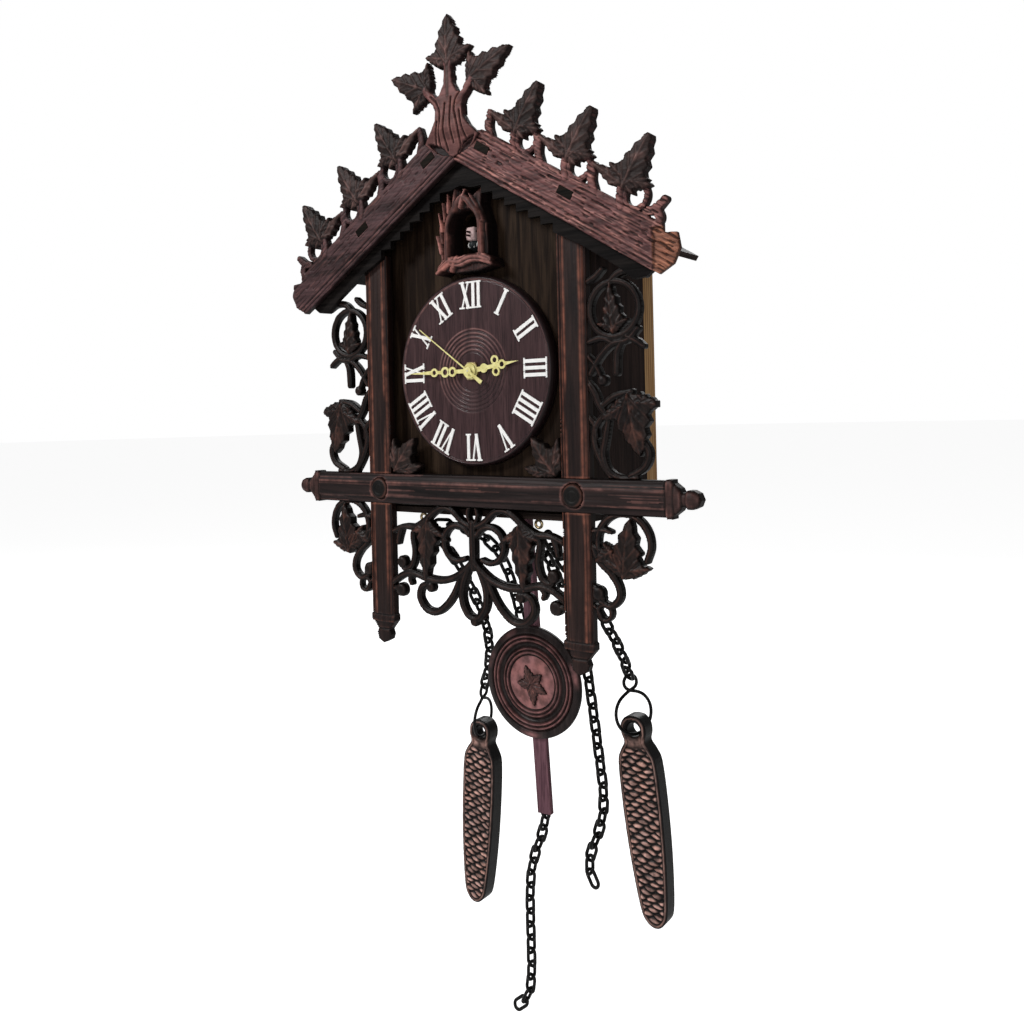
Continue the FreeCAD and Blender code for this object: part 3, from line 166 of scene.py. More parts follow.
class Relief:
    """A carved board: for each point of a flat grid, how far it stands out, how pale it is from wear and
    painted highlight, and how much painted shade it takes.
    """

    def __init__(self, u0, v0, u1, v1, step, turn=0.0, origin=(0.0, 0.0)):
        self.step = step
        us = np.arange(u0 - step, u1 + 1.5 * step, step)
        vs = np.arange(v0 - step, v1 + 1.5 * step, step)
        self.u, self.v = np.meshgrid(us, vs)
        self.x = origin[0] + self.u * math.cos(turn) + self.v * math.sin(turn)
        self.z = origin[1] - self.u * math.sin(turn) + self.v * math.cos(turn)
        self.d = np.full(self.u.shape, FAR)
        self.h = np.zeros(self.u.shape)
        self.pale = np.zeros(self.u.shape)
        self.tone = np.zeros(self.u.shape)
        # how much painted shade each point takes, darkening its colour in recesses, cuts and outlines
        self.painted_shade = np.zeros(self.u.shape)
        self.ink = 0.0

    def add(self, d, h, pale=0.0, part=(slice(None), slice(None))):
        """Joins a shape, given its distance field, its height and how pale it looks, from wear and painted
        highlight.
        """
        known = self.d[part]
        higher = (d < 0) & ((known >= 0) | (h > self.h[part]))
        for field, value in ((self.h, h), (self.pale, pale), (self.tone, self.ink)):
            field[part] = np.where(higher, value, field[part])
        self.d[part] = np.minimum(known, d)

    def remove(self, d):
        """Cuts a shape right through."""
        self.d = np.maximum(self.d, -d)

    def window(self, points, margin):
        """The grid indices around some points."""
        pts = np.array(points, float)
        near = ((self.x > pts[:, 0].min() - margin) & (self.x < pts[:, 0].max() + margin)
                & (self.z > pts[:, 1].min() - margin) & (self.z < pts[:, 1].max() + margin))
        rows = np.where(near.any(1))[0]
        cols = np.where(near.any(0))[0]
        if len(rows) == 0:
            return None
        return slice(rows[0], rows[-1] + 1), slice(cols[0], cols[-1] + 1)

    def stroke(self, width, points, base=1.2, rise=1.6, ends=(1.0, 1.0), grooves=True, pale=0.0):
        """A rounded bar along a smooth line, with two grooves along its top."""
        line = smooth_line(points)
        part = self.window(line, width + 3)
        if part is None:
            return
        x, z = self.x[part], self.z[part]
        best = np.full(x.shape, FAR)
        across = np.full(x.shape, 3.0)
        shares = np.linspace(ends[0], ends[1], len(line))
        if len(line) > 4:
            shares = shares * (0.78 + 0.22 * np.sin(np.pi * np.linspace(0.08, 0.92, len(line))))
        for k in range(len(line) - 1):
            t, dist = to_segment(x, z, line[k], line[k + 1])
            half = width / 2 * (shares[k] * (1 - t) + shares[k + 1] * t)
            nearer = dist - half < best
            best = np.where(nearer, dist - half, best)
            across = np.where(nearer, dist / half, across)
        height = base + rise * np.sqrt(np.clip(1 - across ** 2 * 0.8, 0, 1))
        if grooves:
            height -= 0.75 * np.exp(-((across - 0.46) / 0.16) ** 2)
        self.add(best, height, pale, part)

    def arc(self, width, x, z, radius, start, end, **more):
        """A bar bent round part of a circle."""
        count = max(4, int(abs(end - start) / 25))
        angles = [math.radians(start + (end - start) * k / count) for k in range(count + 1)]
        self.stroke(width, [(x + radius * math.cos(a), z + radius * math.sin(a)) for a in angles], **more)

    def knob(self, x, z, radius, base=1.4, rise=2.0, pale=0.0):
        """A domed button."""
        dist = np.hypot(self.x - x, self.z - z)
        height = base + rise * np.sqrt(np.clip(1 - (dist / radius) ** 2, 0, 1))
        self.add(dist - radius, height, pale)

    def ring(self, x, z, outer, inner, base=1.2, rise=1.5):
        """A full round ring with a groove along it."""
        dist = np.hypot(self.x - x, self.z - z)
        middle = (outer + inner) / 2
        half = (outer - inner) / 2
        across = np.abs(dist - middle) / half
        height = base + rise * np.sqrt(np.clip(1 - across ** 2 * 0.8, 0, 1))
        height -= 0.6 * np.exp(-((across - 0.4) / 0.18) ** 2)
        self.add(np.abs(dist - middle) - half, height)

    def groove(self, points, depth=0.8, width=0.5):
        """A line cut into what is already there."""
        line = smooth_line(points)
        part = self.window(line, 4)
        if part is None:
            return
        x, z = self.x[part], self.z[part]
        best = np.full(x.shape, FAR)
        for start, end in zip(line[:-1], line[1:]):
            best = np.minimum(best, to_segment(x, z, start, end)[1])
        self.h[part] = self.h[part] - depth * np.exp(-(best / width) ** 2)

    def sink(self, points, depth):
        """A flat-bottomed recess inside an outline, darkened with painted shade."""
        d = outline_distance(self.x, self.z, points)
        self.h = np.where(d < 0, -depth, self.h)
        self.pale = np.where(d < 0, 0, self.pale)
        self.painted_shade = np.where(d < 0, 1, self.painted_shade)

    def leaf(self, x, z, length, half_width, lean, base=1.6, rise=1.8):
        """A leaf with a shorter lobe to each side of its foot."""
        foot_x = x + 0.14 * length * math.sin(math.radians(lean))
        foot_z = z + 0.14 * length * math.cos(math.radians(lean))
        for turn in (74, -74):
            self.blade(foot_x, foot_z, half_width * 1.3, half_width * 0.42, lean + turn,
                       base - 0.2, rise * 0.7)
        self.blade(x, z, length, half_width * 0.86, lean, base, rise)

    def blade(self, x, z, length, half_width, lean, base=1.6, rise=1.8, pale=0.02, veins=4):
        """A saw-edged blade with a raised rib, side veins and hollows between them."""
        sine = math.sin(math.radians(lean))
        cosine = math.cos(math.radians(lean))
        outline = []
        edge = LEAF_EDGE + [(a, -o) for a, o in reversed(LEAF_EDGE[:-1])]
        for a, o in edge:
            outline.append((x + a * length * sine + o * half_width * cosine,
                            z + a * length * cosine - o * half_width * sine))
        part = self.window(outline, 3)
        if part is None:
            return
        px, pz = self.x[part], self.z[part]
        along = ((px - x) * sine + (pz - z) * cosine) / length
        out = ((px - x) * cosine - (pz - z) * sine) / half_width
        phase = along * veins - np.abs(out) * 1.5 * half_width * veins / length + 0.35
        vein = np.exp(-(((phase - np.floor(phase)) - 0.5) / 0.14) ** 2)
        rib = np.exp(-(out * half_width / 0.75) ** 2)
        dome = np.clip(1 - out ** 2, 0, 1) * np.sin(np.clip(along, 0.02, 0.98) * np.pi) ** 0.5
        height = base + rise * dome + 0.7 * vein * np.clip(1.1 - along, 0, 1) + 0.8 * rib * (1 - 0.6 * along)
        height += 0.35 * (noise_field(px, pz, 2.3, 2.3, 5) - 0.5)
        rubbed = noise_field(px, pz, 5.0, 5.0, 8)
        wear_and_highlight = pale + 0.3 * rubbed * np.maximum(vein * 0.5, rib)
        wear_and_highlight = wear_and_highlight + 0.3 * smooth_step((rubbed - 0.6) * 4) * dome
        self.add(outline_distance(px, pz, outline), height, wear_and_highlight, part)

    def polygon(self, points, height, pale=0.0):
        """A flat or shaped area inside a closed outline."""
        self.add(outline_distance(self.x, self.z, points), height, pale)

    def build(self, name, body, nodes, front, thickness, edge=0.9, mirror=False, raised_wear_and_highlight=1.0,
              rough=0.12, spot=None):
        """Makes the closed mesh, with how pale each point is, from wear and painted highlight, and how much
        painted shade it takes stored on it.
        """
        step = self.step
        inside = self.d < 0
        rounded = 1 - np.clip(-self.d / 1.3, 0, 1)
        height = self.h - edge * rounded ** 2
        height += rough * (noise_field(self.u, self.v, 1.7, 1.7, 3) - 0.5)
        lift = height - blur(height, inside, 3)
        # raised places are made paler: wear and painted highlight
        wear_and_highlight = np.clip(self.pale + raised_wear_and_highlight * np.clip(lift * 1.1 - 0.12, 0, 0.7), 0, 1)
        # painted shade: recesses marked dark, and places lower than their surroundings
        hollow_shade = np.clip(np.maximum(self.painted_shade, -lift * 2.8), 0, 1)
        near = self.d < 0.55 * step
        cell_d = (self.d[:-1, :-1] + self.d[1:, :-1] + self.d[:-1, 1:] + self.d[1:, 1:]) / 4
        keep = near[:-1, :-1] & near[1:, :-1] & near[:-1, 1:] & near[1:, 1:] & (cell_d < 0)
        around = np.zeros(self.d.shape, int)
        for di in (0, 1):
            for dj in (0, 1):
                around[di:self.d.shape[0] - 1 + di, dj:self.d.shape[1] - 1 + dj] += keep
        rim = (around > 0) & (around < 4)
        dv, du = np.gradient(self.d, step)
        size = np.maximum(np.hypot(du, dv), 1e-6)
        shift = np.where(rim, np.clip(self.d, -0.8 * step, 0.8 * step), 0)
        if self.x[0, 1] - self.x[0, 0] < step * 0.999:
            turn_c = (self.x[0, 1] - self.x[0, 0]) / step
            turn_s = (self.z[0, 1] - self.z[0, 0]) / step
        else:
            turn_c, turn_s = 1.0, 0.0
        mu = -shift * du / size
        mv = -shift * dv / size
        x = self.x + mu * turn_c - mv * turn_s
        z = self.z + mu * turn_s + mv * turn_c
        ids = np.full(self.d.shape, -1)
        used = around > 0
        count = int(used.sum())
        ids[used] = np.arange(count)
        px, pz, ph = x[used], z[used], height[used]
        on_rim = rim[used]
        rings = [
            np.stack([px, front - ph, pz], 1),
            np.stack([px, np.full(count, front + thickness), pz], 1),
        ]
        rim_ids = np.full(count, -1)
        rim_count = int(on_rim.sum())
        rim_ids[on_rim] = np.arange(rim_count)
        rings.append(np.stack([px[on_rim], front - ph[on_rim] + 0.35, pz[on_rim]], 1))
        rings.append(np.stack([px[on_rim], np.full(rim_count, front + thickness - 0.35), pz[on_rim]], 1))
        points = np.vstack(rings)
        if mirror:
            points[:, 0] *= -1
        i, j = np.where(keep)
        quads = np.stack([ids[i, j], ids[i, j + 1], ids[i + 1, j + 1], ids[i + 1, j]], 1)
        back = quads[:, ::-1] + count
        sides = []
        padded = np.pad(keep, 1)
        for a, b, other in (
            ((0, 0), (0, 1), (-1, 0)), ((0, 1), (1, 1), (0, 1)),
            ((1, 1), (1, 0), (1, 0)), ((1, 0), (0, 0), (0, -1)),
        ):
            bare = keep & ~padded[1 + other[0]:padded.shape[0] - 1 + other[0],
                                  1 + other[1]:padded.shape[1] - 1 + other[1]]
            i, j = np.where(bare)
            p = ids[i + a[0], j + a[1]]
            q = ids[i + b[0], j + b[1]]
            p_up, q_up = 2 * count + rim_ids[p], 2 * count + rim_ids[q]
            p_low, q_low = p_up + rim_count, q_up + rim_count
            sides.append(np.stack([q, p, p_up, q_up], 1))
            sides.append(np.stack([q_up, p_up, p_low, q_low], 1))
            sides.append(np.stack([q_low, p_low, p + count, q + count], 1))
        faces = np.vstack([quads, back] + sides)
        if mirror:
            faces = faces[:, ::-1]
        xs, ys, zs = to_row(points[:, 0], points[:, 1], points[:, 2])
        points = np.stack([xs, ys, zs], 1)
        if spot is not None:
            points = spot(points)
        mesh = bpy.data.meshes.new(name)
        mesh.from_pydata(points.tolist(), [], faces.tolist())
        front_wear_and_highlight = wear_and_highlight[used]
        side_wear_and_highlight = front_wear_and_highlight[on_rim] * 0.25
        values = np.concatenate([front_wear_and_highlight, np.zeros(count), side_wear_and_highlight, np.zeros(rim_count)])
        # painted shade on the back and on the side walls
        painted_shades = np.concatenate([hollow_shade[used], np.full(count, 0.3), np.full(2 * rim_count, 0.75)])
        tones = np.concatenate([self.tone[used], np.ones(count), self.tone[used][on_rim], np.ones(rim_count)])
        for title, data in (("wear_and_highlight", values), ("hollow_shade", painted_shades), ("tone", tones)):
            store(mesh, title, data)
        shade_smooth(mesh)
        mesh.update()
        return finish_piece(put_in_scene(name, mesh), body, nodes)


def finish_piece(obj, body, nodes):
    """Rides a piece on its body and stands it for its CAD nodes."""
    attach(obj, body)
    if nodes:
        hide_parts(*nodes)
    return obj


def lathe(name, body, nodes, centre, profile, wear_and_highlight_at, count=160, hole=0.0, dark_from=1e9):
    """A turned piece about an axis along depth: profile is (radius, depth) from the middle outwards."""
    mesh = bpy.data.meshes.new(name)
    verts = []
    faces = []
    wear_and_highlight = []
    for radius, depth in profile:
        for k in range(count):
            a = 2 * math.pi * k / count
            verts.append(to_row(centre[0] + radius * math.cos(a), depth, centre[1] + radius * math.sin(a)))
            wear_and_highlight.append(wear_and_highlight_at(radius, a))
    for r in range(len(profile) - 1):
        for k in range(count):
            n = (k + 1) % count
            faces.append((r * count + k, (r + 1) * count + k, (r + 1) * count + n, r * count + n))
    last = len(profile) - 1
    if hole:
        for k in range(count):
            n = (k + 1) % count
            faces.append((last * count + k, k, n, last * count + n))
    else:
        faces.append(tuple(range(count)))
        faces.append(tuple(last * count + k for k in reversed(range(count))))
    mesh.from_pydata(verts, [], faces)
    bm = bmesh.new()
    bm.from_mesh(mesh)
    bmesh.ops.recalc_face_normals(bm, faces=bm.faces)
    bm.to_mesh(mesh)
    bm.free()
    store(mesh, "wear_and_highlight", wear_and_highlight)
    # painted shade from the radius dark_from outwards
    store(mesh, "hollow_shade", [float(radius > dark_from) for radius, depth in profile for k in range(count)])
    shade_smooth(mesh)
    return finish_piece(put_in_scene(name, mesh), body, nodes)


# ---------------------------------------------------------------- materials

def link(tree, source, target):
    """Joins two sockets."""
    tree.links.new(source, target)


def new_material(name, roughness=0.55, metallic=0.0, coat=0.0):
    """An empty node material and its main shader."""
    material = bpy.data.materials.new(name)
    material.use_nodes = True
    tree = material.node_tree
    shader = tree.nodes["Principled BSDF"]
    shader.inputs["Roughness"].default_value = roughness
    shader.inputs["Metallic"].default_value = metallic
    shader.inputs["Coat Weight"].default_value = coat
    shader.inputs["Specular IOR Level"].default_value = 0.16
    return material, tree, shader


def stretched_noise(tree, stretch, scale, detail=4.0, turn=(0, 0, 0), distortion=0.0):
    """Noise in the object's own millimetres, stretched along the grain."""
    place = tree.nodes.new("ShaderNodeTexCoord")
    mapping = tree.nodes.new("ShaderNodeMapping")
    mapping.inputs["Rotation"].default_value = turn
    mapping.inputs["Scale"].default_value = stretch
    noise = tree.nodes.new("ShaderNodeTexNoise")
    noise.inputs["Scale"].default_value = scale
    noise.inputs["Detail"].default_value = detail
    noise.inputs["Distortion"].default_value = distortion
    link(tree, place.outputs["Object"], mapping.inputs["Vector"])
    link(tree, mapping.outputs["Vector"], noise.inputs["Vector"])
    return noise.outputs["Fac"]


def ramp(tree, source, stops):
    """A colour ramp from a factor."""
    node = tree.nodes.new("ShaderNodeValToRGB")
    elements = node.color_ramp.elements
    elements[0].position, elements[0].color = stops[0][0], (*stops[0][1], 1)
    elements[1].position, elements[1].color = stops[-1][0], (*stops[-1][1], 1)
    for position, colour in stops[1:-1]:
        element = elements.new(position)
        element.color = (*colour, 1)
    link(tree, source, node.inputs["Fac"])
    return node.outputs["Color"]


def math_node(tree, operation, a, b):
    """A sum or product held between 0 and 1."""
    node = tree.nodes.new("ShaderNodeMath")
    node.operation = operation
    node.use_clamp = True
    for socket, value in zip(node.inputs, (a, b)):
        if isinstance(value, (int, float)):
            socket.default_value = value
        else:
            link(tree, value, socket)
    return node.outputs["Value"]


def mix_colour(tree, factor, a, b):
    """Blends two colours by a factor."""
    node = tree.nodes.new("ShaderNodeMix")
    node.data_type = "RGBA"
    link(tree, factor, node.inputs["Factor"])
    for socket, value in ((node.inputs["A"], a), (node.inputs["B"], b)):
        if isinstance(value, tuple):
            socket.default_value = (*value, 1)
        else:
            link(tree, value, socket)
    return node.outputs["Result"]


def multiply_colour(tree, share, a, b):
    """Darkens one colour by another, by a fixed share."""
    node = tree.nodes.new("ShaderNodeMix")
    node.data_type = "RGBA"
    node.blend_type = "MULTIPLY"
    node.inputs["Factor"].default_value = share
    link(tree, a, node.inputs["A"])
    link(tree, b, node.inputs["B"])
    return node.outputs["Result"]


def attribute(tree, name):
    """A number stored on the mesh's points."""
    node = tree.nodes.new("ShaderNodeAttribute")
    node.attribute_name = name
    return node.outputs["Fac"]


def bump(tree, shader, height, strength, distance):
    """An uneven surface from a height."""
    node = tree.nodes.new("ShaderNodeBump")
    node.inputs["Strength"].default_value = strength
    node.inputs["Distance"].default_value = distance
    link(tree, height, node.inputs["Height"])
    link(tree, node.outputs["Normal"], shader.inputs["Normal"])


GRAIN = {"x": (0.06, 1.0, 1.0), "z": (1.0, 1.0, 0.06), "y": (1.0, 0.06, 1.0)}


def wood(name, dark, light, axis="z", wear_and_highlight=None, roughness=0.5, scale=900.0, turn=0.0, grain=0.35,
         coat=0.0, carved=True, leafy=False):
    """Stained wood: streaks along the grain, broad patches, high places lightened by wear and painted
    highlight, and hollows and side walls darkened by painted shade.
    """
    material, tree, shader = new_material(name, roughness, coat=coat)
    if not carved:
        shader.inputs["Specular IOR Level"].default_value = 0.05
    turned = (0, turn, 0)
    fine = stretched_noise(tree, GRAIN[axis], scale, 5.0, turned)
    broad = stretched_noise(tree, (0.5, 0.5, 0.5), 60.0, 3.0)
    streaks = stretched_noise(tree, GRAIN[axis], scale / 5, 3.0, turned, 0.6)
    colour = ramp(tree, streaks, [(0.36, dark), (0.66, light)])
    colour = mix_colour(tree, math_node(tree, "MULTIPLY", broad, 0.35), colour, tuple(0.5 * c for c in dark))
    if leafy:
        leaf_tone = ramp(tree, broad, [(0.3, (0.010, 0.006, 0.005)), (0.7, (0.034, 0.019, 0.017))])
        colour = mix_colour(tree, attribute(tree, "tone"), colour, leaf_tone)
    pores = ramp(tree, fine, [(0.38, (0.45, 0.45, 0.45)), (0.52, (1.0, 1.0, 1.0))])
    colour = multiply_colour(tree, 0.7, colour, pores)
    # the pale places mix wear with painted highlight
    if wear_and_highlight:
        patches = stretched_noise(tree, (1, 1, 1), 170.0, 3.0)
        patchy = ramp(tree, patches, [(0.36, (0.35, 0.35, 0.35)), (0.62, (1.0, 1.0, 1.0))])
        amount = math_node(tree, "MULTIPLY", attribute(tree, "wear_and_highlight"), patchy)
        tone = stretched_noise(tree, (1, 1, 1), 90.0, 2.0)
        wear_and_highlight_colour = mix_colour(tree, tone, wear_and_highlight, (wear_and_highlight[0] * 1.15, wear_and_highlight[1] * 0.85, wear_and_highlight[2] * 0.7))
        # on the leaves the pale places take a reddish painted sheen
        if leafy:
            wear_and_highlight_colour = mix_colour(tree, attribute(tree, "tone"), wear_and_highlight_colour, (0.24, 0.130, 0.115))
        colour = mix_colour(tree, amount, colour, wear_and_highlight_colour)
    if carved:
        # painted shade in the hollows and on the side walls
        painted_shade = math_node(tree, "MULTIPLY", attribute(tree, "hollow_shade"), 0.8)
        colour = mix_colour(tree, painted_shade, colour, tuple(0.12 * c for c in dark))
    link(tree, colour, shader.inputs["Base Color"])
    bump(tree, shader, fine, grain, 0.0004)
    return material


def plain(name, dark, light, roughness=0.5, metallic=0.0, scale=300.0, strength=0.1, coat=0.0):
    """Plastic, paint or metal with a faint mottle and uneven surface."""
    material, tree, shader = new_material(name, roughness, metallic, coat)
    mottle = stretched_noise(tree, (1, 1, 1), scale, 4.0)
    link(tree, ramp(tree, mottle, [(0.3, dark), (0.7, light)]), shader.inputs["Base Color"])
    fine = stretched_noise(tree, (1, 1, 1), scale * 4, 2.0)
    bump(tree, shader, fine, strength, 0.0002)
    return material


def plywood(name):
    """Pale plywood: broad grain on its faces and thin layers across its thickness."""
    material, tree, shader = new_material(name, 0.6)
    streaks = stretched_noise(tree, (1.0, 1.0, 0.08), 220.0, 4.0, distortion=0.5)
    colour = ramp(tree, streaks, [(0.3, (0.36, 0.19, 0.075)), (0.7, (0.54, 0.33, 0.155))])
    place = tree.nodes.new("ShaderNodeTexCoord")
    wave = tree.nodes.new("ShaderNodeTexWave")
    wave.bands_direction = "Y"
    wave.inputs["Scale"].default_value = 110.0
    wave.inputs["Distortion"].default_value = 0.6
    wave.inputs["Detail"].default_value = 2.0
    link(tree, place.outputs["Object"], wave.inputs["Vector"])
    layers = ramp(tree, wave.outputs["Fac"], [(0.35, (0.5, 0.45, 0.4)), (0.6, (1.0, 1.0, 1.0))])
    link(tree, multiply_colour(tree, 0.8, colour, layers), shader.inputs["Base Color"])
    bump(tree, shader, streaks, 0.25, 0.0003)
    return material


M = {
    "case": wood("case_wood", (0.011, 0.006, 0.004), (0.044, 0.027, 0.017), carved=False),
    "floor": wood("case_floor_wood", (0.010, 0.007, 0.006), (0.030, 0.020, 0.017), "x", carved=False),
    "side": wood("side_wood", (0.014, 0.008, 0.007), (0.042, 0.025, 0.021), carved=False),
    "roof": wood("roof_wood", (0.008, 0.005, 0.004), (0.034, 0.020, 0.017), "y", carved=False),
    "trim": wood("trim_wood", (0.004, 0.003, 0.003), (0.014, 0.011, 0.010), "x", carved=False),
    "inlay": wood("inlay_wood", (0.002, 0.002, 0.001), (0.012, 0.007, 0.004), "x", carved=False),
    "barge_right": wood("bargeboard_right_wood", (0.050, 0.018, 0.018), (0.205, 0.085, 0.082), "x",
                        wear_and_highlight=(0.54, 0.30, 0.28), turn=-TILT, scale=700.0, grain=0.8, leafy=True),
    "barge_left": wood("bargeboard_left_wood", (0.028, 0.013, 0.014), (0.105, 0.052, 0.055), "x",
                       wear_and_highlight=(0.25, 0.13, 0.125), turn=TILT, scale=700.0, grain=0.6, leafy=True),
    "barge_end": wood("bargeboard_end_wood", (0.075, 0.026, 0.016), (0.330, 0.135, 0.090), "x",
                      wear_and_highlight=(0.55, 0.27, 0.18), turn=-TILT, scale=800.0, grain=0.8),
    "carved": wood("carved_wood", (0.005, 0.003, 0.003), (0.019, 0.011, 0.009), wear_and_highlight=(0.15, 0.07, 0.055),
                   roughness=0.42),
    "leaf": wood("carved_leaf_wood", (0.009, 0.006, 0.005), (0.034, 0.020, 0.017), wear_and_highlight=(0.16, 0.085, 0.075)),
    "post": wood("post_wood", (0.009, 0.004, 0.004), (0.036, 0.018, 0.015), wear_and_highlight=(0.26, 0.105, 0.072)),
    "beam": wood("beam_wood", (0.007, 0.004, 0.004), (0.032, 0.018, 0.017), "x", wear_and_highlight=(0.25, 0.13, 0.12)),
    "peg": wood("peg_wood", (0.002, 0.002, 0.002), (0.008, 0.006, 0.005), wear_and_highlight=(0.14, 0.06, 0.045)),
    "dial": wood("dial_wood", (0.040, 0.020, 0.022), (0.070, 0.036, 0.038), wear_and_highlight=(0.36, 0.21, 0.21),
                 roughness=0.38, scale=1400.0, grain=0.05, coat=0.1),
    "nest": wood("nest_wood", (0.007, 0.004, 0.004), (0.034, 0.018, 0.018), wear_and_highlight=(0.48, 0.23, 0.21)),
    "rod": wood("rod_wood", (0.125, 0.060, 0.076), (0.225, 0.110, 0.132), scale=1200.0, carved=False),
    "bob": wood("bob_wood", (0.009, 0.006, 0.006), (0.034, 0.022, 0.021), wear_and_highlight=(0.43, 0.215, 0.225),
                roughness=0.36),
    "bob_leaf": wood("bob_leaf_wood", (0.018, 0.009, 0.009), (0.070, 0.034, 0.033), wear_and_highlight=(0.40, 0.19, 0.17),
                     roughness=0.38),
    "cone": wood("cone_paint", (0.004, 0.003, 0.003), (0.016, 0.011, 0.010), wear_and_highlight=(0.70, 0.47, 0.43),
                 roughness=0.38, scale=1500.0),
    "ply": plywood("plywood"),
    "numeral": plain("numeral_plastic", (0.80, 0.79, 0.77), (0.95, 0.94, 0.92), 0.4),
    "hand": plain("hand_plastic", (0.58, 0.51, 0.18), (0.88, 0.82, 0.40), 0.3, strength=0.2, coat=0.2),
    "brass": plain("brass", (0.45, 0.33, 0.17), (0.66, 0.53, 0.32), 0.35, 1.0),
    "wire": plain("black_wire", (0.003, 0.003, 0.003), (0.012, 0.011, 0.011), 0.35, 0.2),
    "plastic": plain("movement_plastic", (0.010, 0.010, 0.011), (0.028, 0.028, 0.030), 0.5),
    "gear": plain("gear_plastic", (0.62, 0.60, 0.52), (0.80, 0.78, 0.70), 0.4),
    "cell": plain("cell_jacket", (0.05, 0.06, 0.08), (0.12, 0.13, 0.15), 0.35, 0.5),
    "bird": plain("bird_paint", (0.008, 0.010, 0.012), (0.030, 0.036, 0.038), 0.45, scale=600.0),
    "bird_head": plain("bird_head_paint", (0.46, 0.31, 0.30), (0.62, 0.46, 0.45), 0.5, scale=500.0),
    "beak": plain("beak_paint", (0.020, 0.012, 0.012), (0.06, 0.03, 0.03), 0.4),
    "streak": plain("bird_streak_paint", (0.50, 0.50, 0.48), (0.75, 0.73, 0.71), 0.5),
}


def paint(obj, *materials):
    """Gives an object its materials in slot order."""
    obj.data.materials.clear()
    for material in materials:
        obj.data.materials.append(material)


def bevel(obj, width, segments=2):
    """Softens a CAD node's sharp edges without touching its mesh."""
    modifier = obj.modifiers.new("edges", "BEVEL")
    modifier.width = width
    modifier.segments = segments
    modifier.limit_method = "ANGLE"
    modifier.angle_limit = math.radians(40)


# ---------------------------------------------------------------- CAD nodes that stay

STAYING = {
    "front_panel": ("case", 0.0004), "side_panel_left": ("side", 0.0004),
    "side_panel_right": ("side", 0.0004),
    "case_floor": ("floor", 0.0004), "back_frame": ("ply", 0.0004), "back_door": ("ply", 0.0003),
    "frame_hinges": ("brass", 0), "door_hinges": ("brass", 0), "roof_panel_left": ("roof", 0.0005),
    "roof_panel_right": ("roof", 0.0005), "roof_inlays": ("inlay", 0), "gable_trim": ("trim", 0.0003),
    "hour_numerals": ("numeral", 0), "dial_nut": ("brass", 0.0002), "hour_hand": ("hand", 0),
    "minute_hand": ("hand", 0), "second_hand": ("hand", 0), "nest_box": ("case", 0),
    "bird_carriage": ("case", 0), "movement_case": ("plastic", 0.0004), "movement_cover": ("plastic", 0.0003),
    "second_wheel": ("gear", 0), "third_wheel": ("gear", 0), "centre_wheel": ("gear", 0),
    "motion_wheel": ("gear", 0), "hour_wheel": ("gear", 0), "battery_box": ("plastic", 0.0004),
    "batteries": ("cell", 0.0004), "speaker": ("plastic", 0), "pendulum_drive": ("plastic", 0.0004),
    "pendulum_rod": ("rod", 0.0005), "chain_hooks": ("brass", 0), "weight_chain_left": ("wire", 0),
    "weight_chain_right": ("wire", 0), "free_chain_left": ("wire", 0), "free_chain_right": ("wire", 0),
}

for node, (material, width) in STAYING.items():
    paint(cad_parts[node], M[material])
    if width:
        bevel(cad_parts[node], width)


# ---------------------------------------------------------------- roof

BARGE_LOW = 205.6
BARGE_HIGH = 230.0
CREST_LINE = 236.1
BOARD_END = 132.5
BARE_TOP = 146.5
SOCKETS = (21.5, 80.0)
CREST_LEAVES = (46.5, 81.8, 117.1)


def eye_outline(x, z, half_length, half_width, lift):
    """A pointed oval, turned up by degrees."""
    points = []
    for side in (1, -1):
        for k in range(8):
            t = side * (1 - 2 * k / 8)
            across = side * half_width * (1 - t * t)
            c, s = math.cos(math.radians(lift)), math.sin(math.radians(lift))
            along = t * half_length
            points.append((x + along * c - across * s, z + along * s + across * c))
    return points


NOTCH = eye_outline(10.6, 213.2, 8.6, 2.2, 31)


def draw_cresting(board):
    """Three leaves on pierced stalks that rise out of the board's upper edge."""
    rail = [(14, BARGE_HIGH - SLOPE * 14 - 3), (140, BARGE_HIGH - SLOPE * 140 - 3),
            (140, BARGE_HIGH - SLOPE * 140 + 4), (22, BARGE_HIGH - SLOPE * 22 + 4),
            (14, BARGE_HIGH - SLOPE * 14)]
    board.polygon(rail, 0 * board.x, 0.1)
    flat = {"base": -0.5, "rise": 0.9, "grooves": False, "pale": 0.1}
    for x in CREST_LEAVES:
        foot = CREST_LINE - SLOPE * x
        board.stroke(5.0, [(x - 18, foot + 7), (x - 20, foot + 14), (x - 18.5, foot + 22)], **flat)
        board.ring(x + 7.6, foot + 0.5, 8.4, 5.3, base=-0.4, rise=0.8)
        board.stroke(4.2, [(x - 0.5, foot + 9), (x - 2.2, foot + 3), (x - 1.5, foot - 4)], base=0.0, rise=0.9,
                     grooves=False, pale=0.1)
    board.stroke(5.0, [(131, CREST_LINE - SLOPE * 131), (136, 156), (142, 160.5)], **flat)
    board.stroke(5.0, [(136, BARGE_HIGH - SLOPE * 136 + 1), (138.5, 151), (136.5, 157)], **flat)
    board.ink = 1.0
    for x in CREST_LEAVES:
        foot = CREST_LINE - SLOPE * x
        board.blade(x, foot + 8, 24, 4.6, -51, base=0.4, rise=1.2, pale=0.3, veins=3)
        board.blade(x + 2, foot + 8, 8.5, 3.0, 146, base=0.5, rise=1.0)
        board.blade(x + 1, foot + 9, 15, 5, 93, base=0.5, rise=1.3)
        board.leaf(x, foot + 5.5, 34, 12, 33.5, base=0.8, rise=1.7)
    board.ink = 0.0


